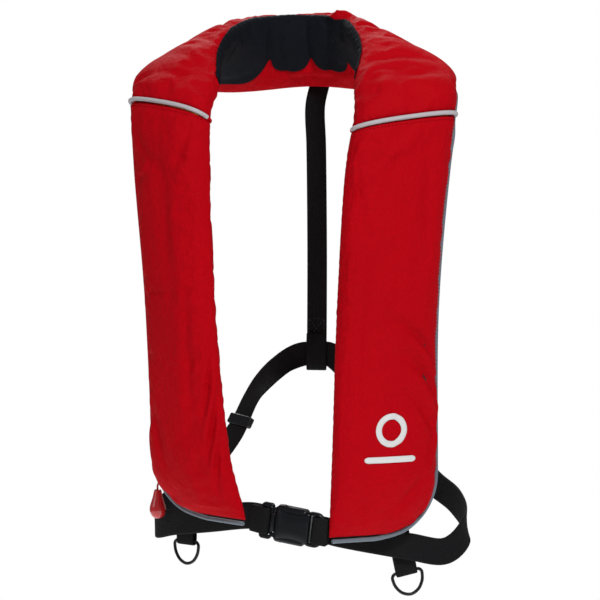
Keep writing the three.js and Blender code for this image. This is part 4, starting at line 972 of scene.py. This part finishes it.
def closed_tube(points, radius, around):
    """A rod whose end meets its start."""
    count = len(points)
    ahead = [(points[(i + 1) % count] - points[i - 1]).normalized() for i in range(count)]
    normal = Vector((0, 1, 0))

    def place(u, v):
        i = round(u * count) % count
        side = ahead[i].cross(normal).normalized()
        angle = 2 * math.pi * v
        return points[i] + radius * (math.cos(angle) * side + math.sin(angle) * normal)

    bm = wrapped(count, around, place, (length_of(points), 2 * math.pi * radius))
    return closed(bm)


def ring_route():
    h, low = RING_HALF, RING_HEIGHT
    bow = [(h, -0.003), (h, -0.008), (0.9 * h, -0.6 * low), (0.55 * h, -0.93 * low), (0, -low - RING_WIRE)]
    right = bow[:-1]
    left = [(-x, z) for x, z in reversed(right)]
    bar = [(-h + 0.003, 0), (-h * 0.4, 0), (h * 0.4, 0), (h - 0.003, 0)]
    points = Route([(x, 0, z) for x, z in bar + bow + left + bar[:2]]).spaced(120)
    start = next(i for i, p in enumerate(points) if p.x > 0)
    loop = []
    for p in points[start:]:
        loop.append(p)
        if len(loop) > 60 and abs(p.z) < 1e-4 and p.x > -0.001:
            break
    return loop


for side, place_ring in RINGS.items():
    route = ring_route()
    bm = closed_tube(route, RING_WIRE, 14)
    bmesh.ops.transform(bm, matrix=place_ring, verts=bm.verts)
    piece(f"ring_{side}_wire", bm, BLACK_STEEL, f"ring_{side}", [f"d_ring_{side}"], math.pi)
    r, rise, reach = RING_WIRE + 0.0016, TAB_RISE[side], 0.008
    tab = [
        (0, -r - reach, rise + 0.018), (0, -r - reach * 0.5, rise + 0.010), (0, -r, rise), (0, -r, 0.006),
        (0, -r * 0.7, -r * 0.7), (0, 0, -r), (0, r * 0.7, -r * 0.7), (0, r, 0), (0, r, rise - 0.008),
    ]
    strap(f"ring_tab_{side}_webbing", [(p, ACROSS) for p in tab], TAB_WIDTH, "jacket",
          [f"ring_tab_{side}"], WEBBING, 90, place_ring)

# %% [markdown]
# ## Softened plastic
# A moulded part never has a sharp edge. Its CAD shape is right, so a copy of it is welded, its flat
# faces are joined again, and the bevel operator rounds every edge that turns by more than a little.

# %% Soften the moulded parts
def softened(node, name, width, finish, body, segments=3, sharp=25):
    bm = bmesh.new()
    bm.from_mesh(nodes[node].data)
    bmesh.ops.remove_doubles(bm, verts=bm.verts, dist=2e-6)
    bmesh.ops.dissolve_limit(bm, angle_limit=math.radians(2), verts=bm.verts, edges=bm.edges)
    corners = [e for e in bm.edges if e.is_manifold and e.calc_face_angle() > math.radians(sharp)]
    bmesh.ops.bevel(
        bm, geom=corners, offset=width, offset_type="OFFSET", segments=segments, profile=0.5,
        affect="EDGES", clamp_overlap=True, material=-1,
    )
    bmesh.ops.triangulate(bm, faces=[f for f in bm.faces if len(f.verts) > 4])
    return piece(name, bm, finish, body, [node], math.radians(35))


for node, name, width, body in (
    ("buckle_socket", "buckle_socket_shell", 0.0008, "jacket"),
    ("buckle_plug", "buckle_plug_frame", 0.0007, "buckle_plug"),
    ("buckle_arm_upper", "buckle_arm_upper_spring", 0.0007, "arm_upper"),
    ("buckle_arm_lower", "buckle_arm_lower_spring", 0.0007, "arm_lower"),
    ("belt_keeper", "belt_keeper_frame", 0.0006, "jacket"),
):
    softened(node, name, width, BLACK_PLASTIC, body)

# %% [markdown]
# ## The buckle's crown
# A side-release socket swells in the middle of both faces and is waisted between its arms, which
# gives the fingers a grip. A dome with a waisted outline is laid on each face of the softened box.

# %% Crown the socket
CROWN_LOW, CROWN_HIGH, CROWN_HALF, CROWN_RISE = -0.0165, 0.0225, 0.0182, 0.0032


def crown(u, v, face):
    x, z = 2 * u - 1, 2 * v - 1
    waist = 1 - 0.20 * (1 - x * x)
    rise = CROWN_RISE * max(0, (1 - x**4) * (1 - z**4)) ** 0.45
    middle, half = (CROWN_LOW + CROWN_HIGH) / 2, (CROWN_HIGH - CROWN_LOW) / 2
    return BUCKLE @ Vector((middle + x * half, face * (0.0060 + rise), z * CROWN_HALF * waist))


for face, label in ((-1, "outer"), (1, "inner")):
    dome = wrapped(28, 24, lambda u, v: crown(u, v, face), (0.04, 0.036))
    made = piece(f"buckle_crown_{label}", closed(dome), BLACK_PLASTIC, smooth=math.pi)
    modifier(made, "SUBSURF", levels=1, render_levels=1)
    print(f"buckle_crown_{label}: {len(made.data.polygons)} faces")

# %% Give the plug its shoulder
def shoulder(u, v):
    around, end = 2 * math.pi * v, 1 - 0.22 * abs(2 * u - 1) ** 6
    z = 0.0112 * math.copysign(abs(math.cos(around)) ** 0.6, math.cos(around)) * end
    y = 0.0048 * math.copysign(abs(math.sin(around)) ** 0.6, math.sin(around)) * end
    return BUCKLE @ Vector((-0.0236 + u * 0.0047, y, z))


shoulder_bm = closed(wrapped(10, 40, shoulder, (0.005, 0.05)))
piece("buckle_plug_shoulder", shoulder_bm, BLACK_PLASTIC, "buckle_plug")

# %% [markdown]
# ## The pull handle
# A glossy bead like a drop, moulded on to the end of the pull cord. Half of its outline is spun once
# round its axis.

# %% Spin the handle
HANDLE_TOP = beside_hem("right", 1.167, 0.0152, 0.018)


def turned(profile, steps=40):
    """A round shape from (radius, height) points, spun about Z."""
    bm = bmesh.new()
    verts = [bm.verts.new((r, 0, z)) for r, z in profile]
    edges = [bm.edges.new(pair) for pair in zip(verts, verts[1:])]
    bmesh.ops.spin(bm, geom=verts + edges, axis=(0, 0, 1), cent=(0, 0, 0), angle=2 * math.pi,
                   steps=steps, use_merge=True)
    bmesh.ops.remove_doubles(bm, verts=bm.verts, dist=1e-6)
    bmesh.ops.recalc_face_normals(bm, faces=bm.faces)
    return bm


drop = [(0, -0.034), (0.0032, -0.0336), (0.0058, -0.0315), (0.0078, -0.0275), (0.0085, -0.0235),
        (0.0080, -0.0190), (0.0062, -0.0130), (0.0047, -0.0075), (0.0040, -0.0025), (0.0034, -0.0003), (0, 0)]
FULLER = 1.14
handle_bm = turned([(r * FULLER, z) for r, z in drop])
bmesh.ops.translate(handle_bm, vec=HANDLE_TOP, verts=handle_bm.verts)
handle = piece("pull_handle_drop", handle_bm, RED_PLASTIC, "handle", ["pull_handle"], math.pi)
modifier(handle, "SUBSURF", levels=1, render_levels=1)
length_of(pull_points)
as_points(pull_points)
length_of(whistle_points)
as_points(whistle_points)

# %% [markdown]
# ## Stitching and the eyelet
# Lockstitch shows as a row of short threads, each sunk at both ends. One stitch is a stretched
# sphere, and a row repeats it at even steps. The pull cord leaves the cover through a metal eyelet.

# %% Sew the rows of stitches
STITCH, STITCH_GAP, THREAD = 0.0026, 0.0015, 0.00038


def stitches(name, points, finish):
    count = int(length_of(points) / (STITCH + STITCH_GAP))
    even = Route(points).spaced(count + 1)
    bm = bmesh.new()
    for a, b in zip(even, even[1:]):
        way = (b - a).to_track_quat("X", "Z").to_matrix().to_4x4()
        size = Matrix.Diagonal((STITCH / 2, THREAD, THREAD, 1))
        bmesh.ops.create_uvsphere(bm, u_segments=6, v_segments=5, radius=1,
                                  matrix=Matrix.Translation((a + b) / 2) @ way @ size)
    piece(name, bm, finish, smooth=math.pi)
    print(f"{name}: {count} stitches")


for side, pad, hem in (("right", lobe_right, 0.0), ("left", lobe_left, WHOLE)):
    turn = 1 if side == "right" else -1
    edge = [pad.at(hem + turn * d, 17, 0.0004) for d in np.linspace(0.07, SEAM - 0.008, 90)]
    stitches(f"stitches_edge_{side}", edge, RED_THREAD)
    across = [pad.at(hem + turn * (SEAM - 0.0055), a, 0.0004) for a in np.linspace(12, 168, 50)]
    stitches(f"stitches_shoulder_{side}", across, RED_THREAD)

box_x, box_y = STRAP_WIDTH / 2 - 0.003, JUNCTION.y + 0.004
box_z = (JUNCTION.z + 0.044, JUNCTION.z + 0.020)
box = [(JUNCTION.x + x * box_x, box_y, z) for x, z in (
    (-1, box_z[0]), (1, box_z[0]), (1, box_z[1]), (-1, box_z[1]), (-1, box_z[0]))]
for face, lift in (("outside", 0.0016), ("inside", -0.0032)):
    corners = [Vector(p) + Vector((0, lift, 0)) for p in box]
    rows = [[a, b] for a, b in zip(corners, corners[1:])]
    rows.append([rows[0][0], rows[1][1]])
    rows.append([rows[0][1], rows[2][1]])
    for k, row in enumerate(rows):
        stitches(f"stitches_strap_{face}_{k}", row, BLACK_THREAD)

# %% Set the eyelet
EYELET = Vector(PULL_ROUTE[2])
EYELET_OUT = (Vector(PULL_ROUTE[3]) - EYELET).normalized()
rim = [Vector((0.0042 * math.cos(a), 0, 0.0042 * math.sin(a))) for a in np.linspace(0, 2 * math.pi, 33)[:-1]]
rim_bm = closed_tube(rim, 0.0011, 12)
way = EYELET_OUT.to_track_quat("Y", "Z").to_matrix().to_4x4()
bmesh.ops.transform(rim_bm, matrix=Matrix.Translation(EYELET + EYELET_OUT * 0.0012) @ way, verts=rim_bm.verts)
piece("pull_cord_eyelet", rim_bm, STEEL, smooth=math.pi)

# %% [markdown]
# ## The chest mark
# A plain white ring over a plain white bar, printed on the left lobe, with nothing written on either.
# Ink lies on the cloth, so each is a thin grid that follows the pad.

# %% Print the mark on the lobe
MARK_ACROSS, RING_AT, BAR_AT = -0.004, WHOLE - 0.119, WHOLE - 0.088
RING_OUT, RING_IN, BAR_LONG, BAR_TALL = 0.0180, 0.0115, 0.058, 0.0065


def on_lobe(down, across):
    """A point of the print, a hair off the cloth, across metres from the middle of the lobe."""
    x = (MARK_ACROSS + across) / 0.060
    angle = math.degrees(math.acos(math.copysign(abs(x) ** (SQUARENESS / 2), x)))
    return lobe_left.at(down, angle, 0.0006)


def on_ring(u, v):
    turn, radius = 2 * math.pi * u, RING_IN + v * (RING_OUT - RING_IN)
    return on_lobe(RING_AT + radius * math.sin(turn), radius * math.cos(turn))


def on_bar(u, v):
    round_end = 1 - 0.12 * abs(2 * v - 1) ** 3
    return on_lobe(BAR_AT + (v - 0.5) * BAR_TALL, (u - 0.5) * BAR_LONG * round_end)


ring_bm = wrapped(72, 4, on_ring, (0.09, 0.0065))
bmesh.ops.remove_doubles(ring_bm, verts=ring_bm.verts, dist=1e-6)
bar_bm = wrapped(48, 6, on_bar, (BAR_LONG, BAR_TALL))
for name, bm, stands_for in (("chest_mark_ring", ring_bm, ["chest_patch"]), ("chest_mark_bar", bar_bm, [])):
    mark = piece(name, bm, WHITE_PRINT, stands_for=stands_for, smooth=math.pi)
    modifier(mark, "SOLIDIFY", thickness=0.0004, offset=0)
    print(f"{name}: {len(mark.data.polygons)} faces")

# %% [markdown]
# ## The parts inside
# The inflator, the gas cylinder, the mouth tube and the folded bladder keep their CAD shape, because
# the cover hides them. Each still gets its finish, from the slot that the record names.

# %% Finish the carried-over parts
slots = {part["node"]: part["material_slot"] for part in frame["record"]["subparts"]}
for name, node in nodes.items():
    for slot in node.material_slots:
        slot.link = "OBJECT"
        slot.material = SLOT_FINISH[slots[name]]

# %% [markdown]
# ## Floor and light
# A plain pale floor below that glows a little, a bright sky and three large soft lamps, as in a small
# studio. The sky is dimmer as a light than as a background, so that it doesn't wash out the red.

# %% Studio
floor_bm = bmesh.new()
bmesh.ops.create_grid(floor_bm, x_segments=1, y_segments=1, size=1.6)
bmesh.ops.translate(floor_bm, vec=(0, 0, -1.05), verts=floor_bm.verts)
pale = moulded("pale_floor", (0.93, 0.93, 0.93), (0.90, 0.90, 0.90), 0.9, 0.0001)
glow = pale.node_tree.nodes["Principled BSDF"].inputs
glow["Emission Color"].default_value, glow["Emission Strength"].default_value = (1, 1, 1, 1), 0.5
glow["Specular IOR Level"].default_value = 0.1
floor = piece("floor", floor_bm, pale, body=None)


def lamp(name, place, size, power):
    light = bpy.data.lights.new(name, "AREA")
    light.energy, light.shape, light.size = power, "DISK", size
    made = bpy.data.objects.new(name, light)
    made.location = place
    made.rotation_euler = (LOOK_AT - Vector(place)).to_track_quat("-Z", "Y").to_euler()
    scene.collection.objects.link(made)


lamp("key", (1.1, -1.9, 1.6), 0.7, 50)
lamp("fill", (-2.2, -1.6, 0.6), 1.4, 9)
lamp("back", (-0.5, 2.0, 1.4), 1.2, 34)
world = bpy.data.worlds.new("studio")
scene.world = world
world.use_nodes = True
sky = world.node_tree.nodes["Background"]
sky.inputs["Color"].default_value = (1, 1, 1, 1)
wires = world.node_tree
seen = wires.nodes.new("ShaderNodeLightPath").outputs["Is Camera Ray"]
share = wires.nodes.new("ShaderNodeMapRange")
share.inputs["To Min"].default_value, share.inputs["To Max"].default_value = 0.22, 1.0
wires.links.new(seen, share.inputs["Value"])
wires.links.new(share.outputs["Result"], sky.inputs["Strength"])
scene.view_settings.view_transform = "Standard"
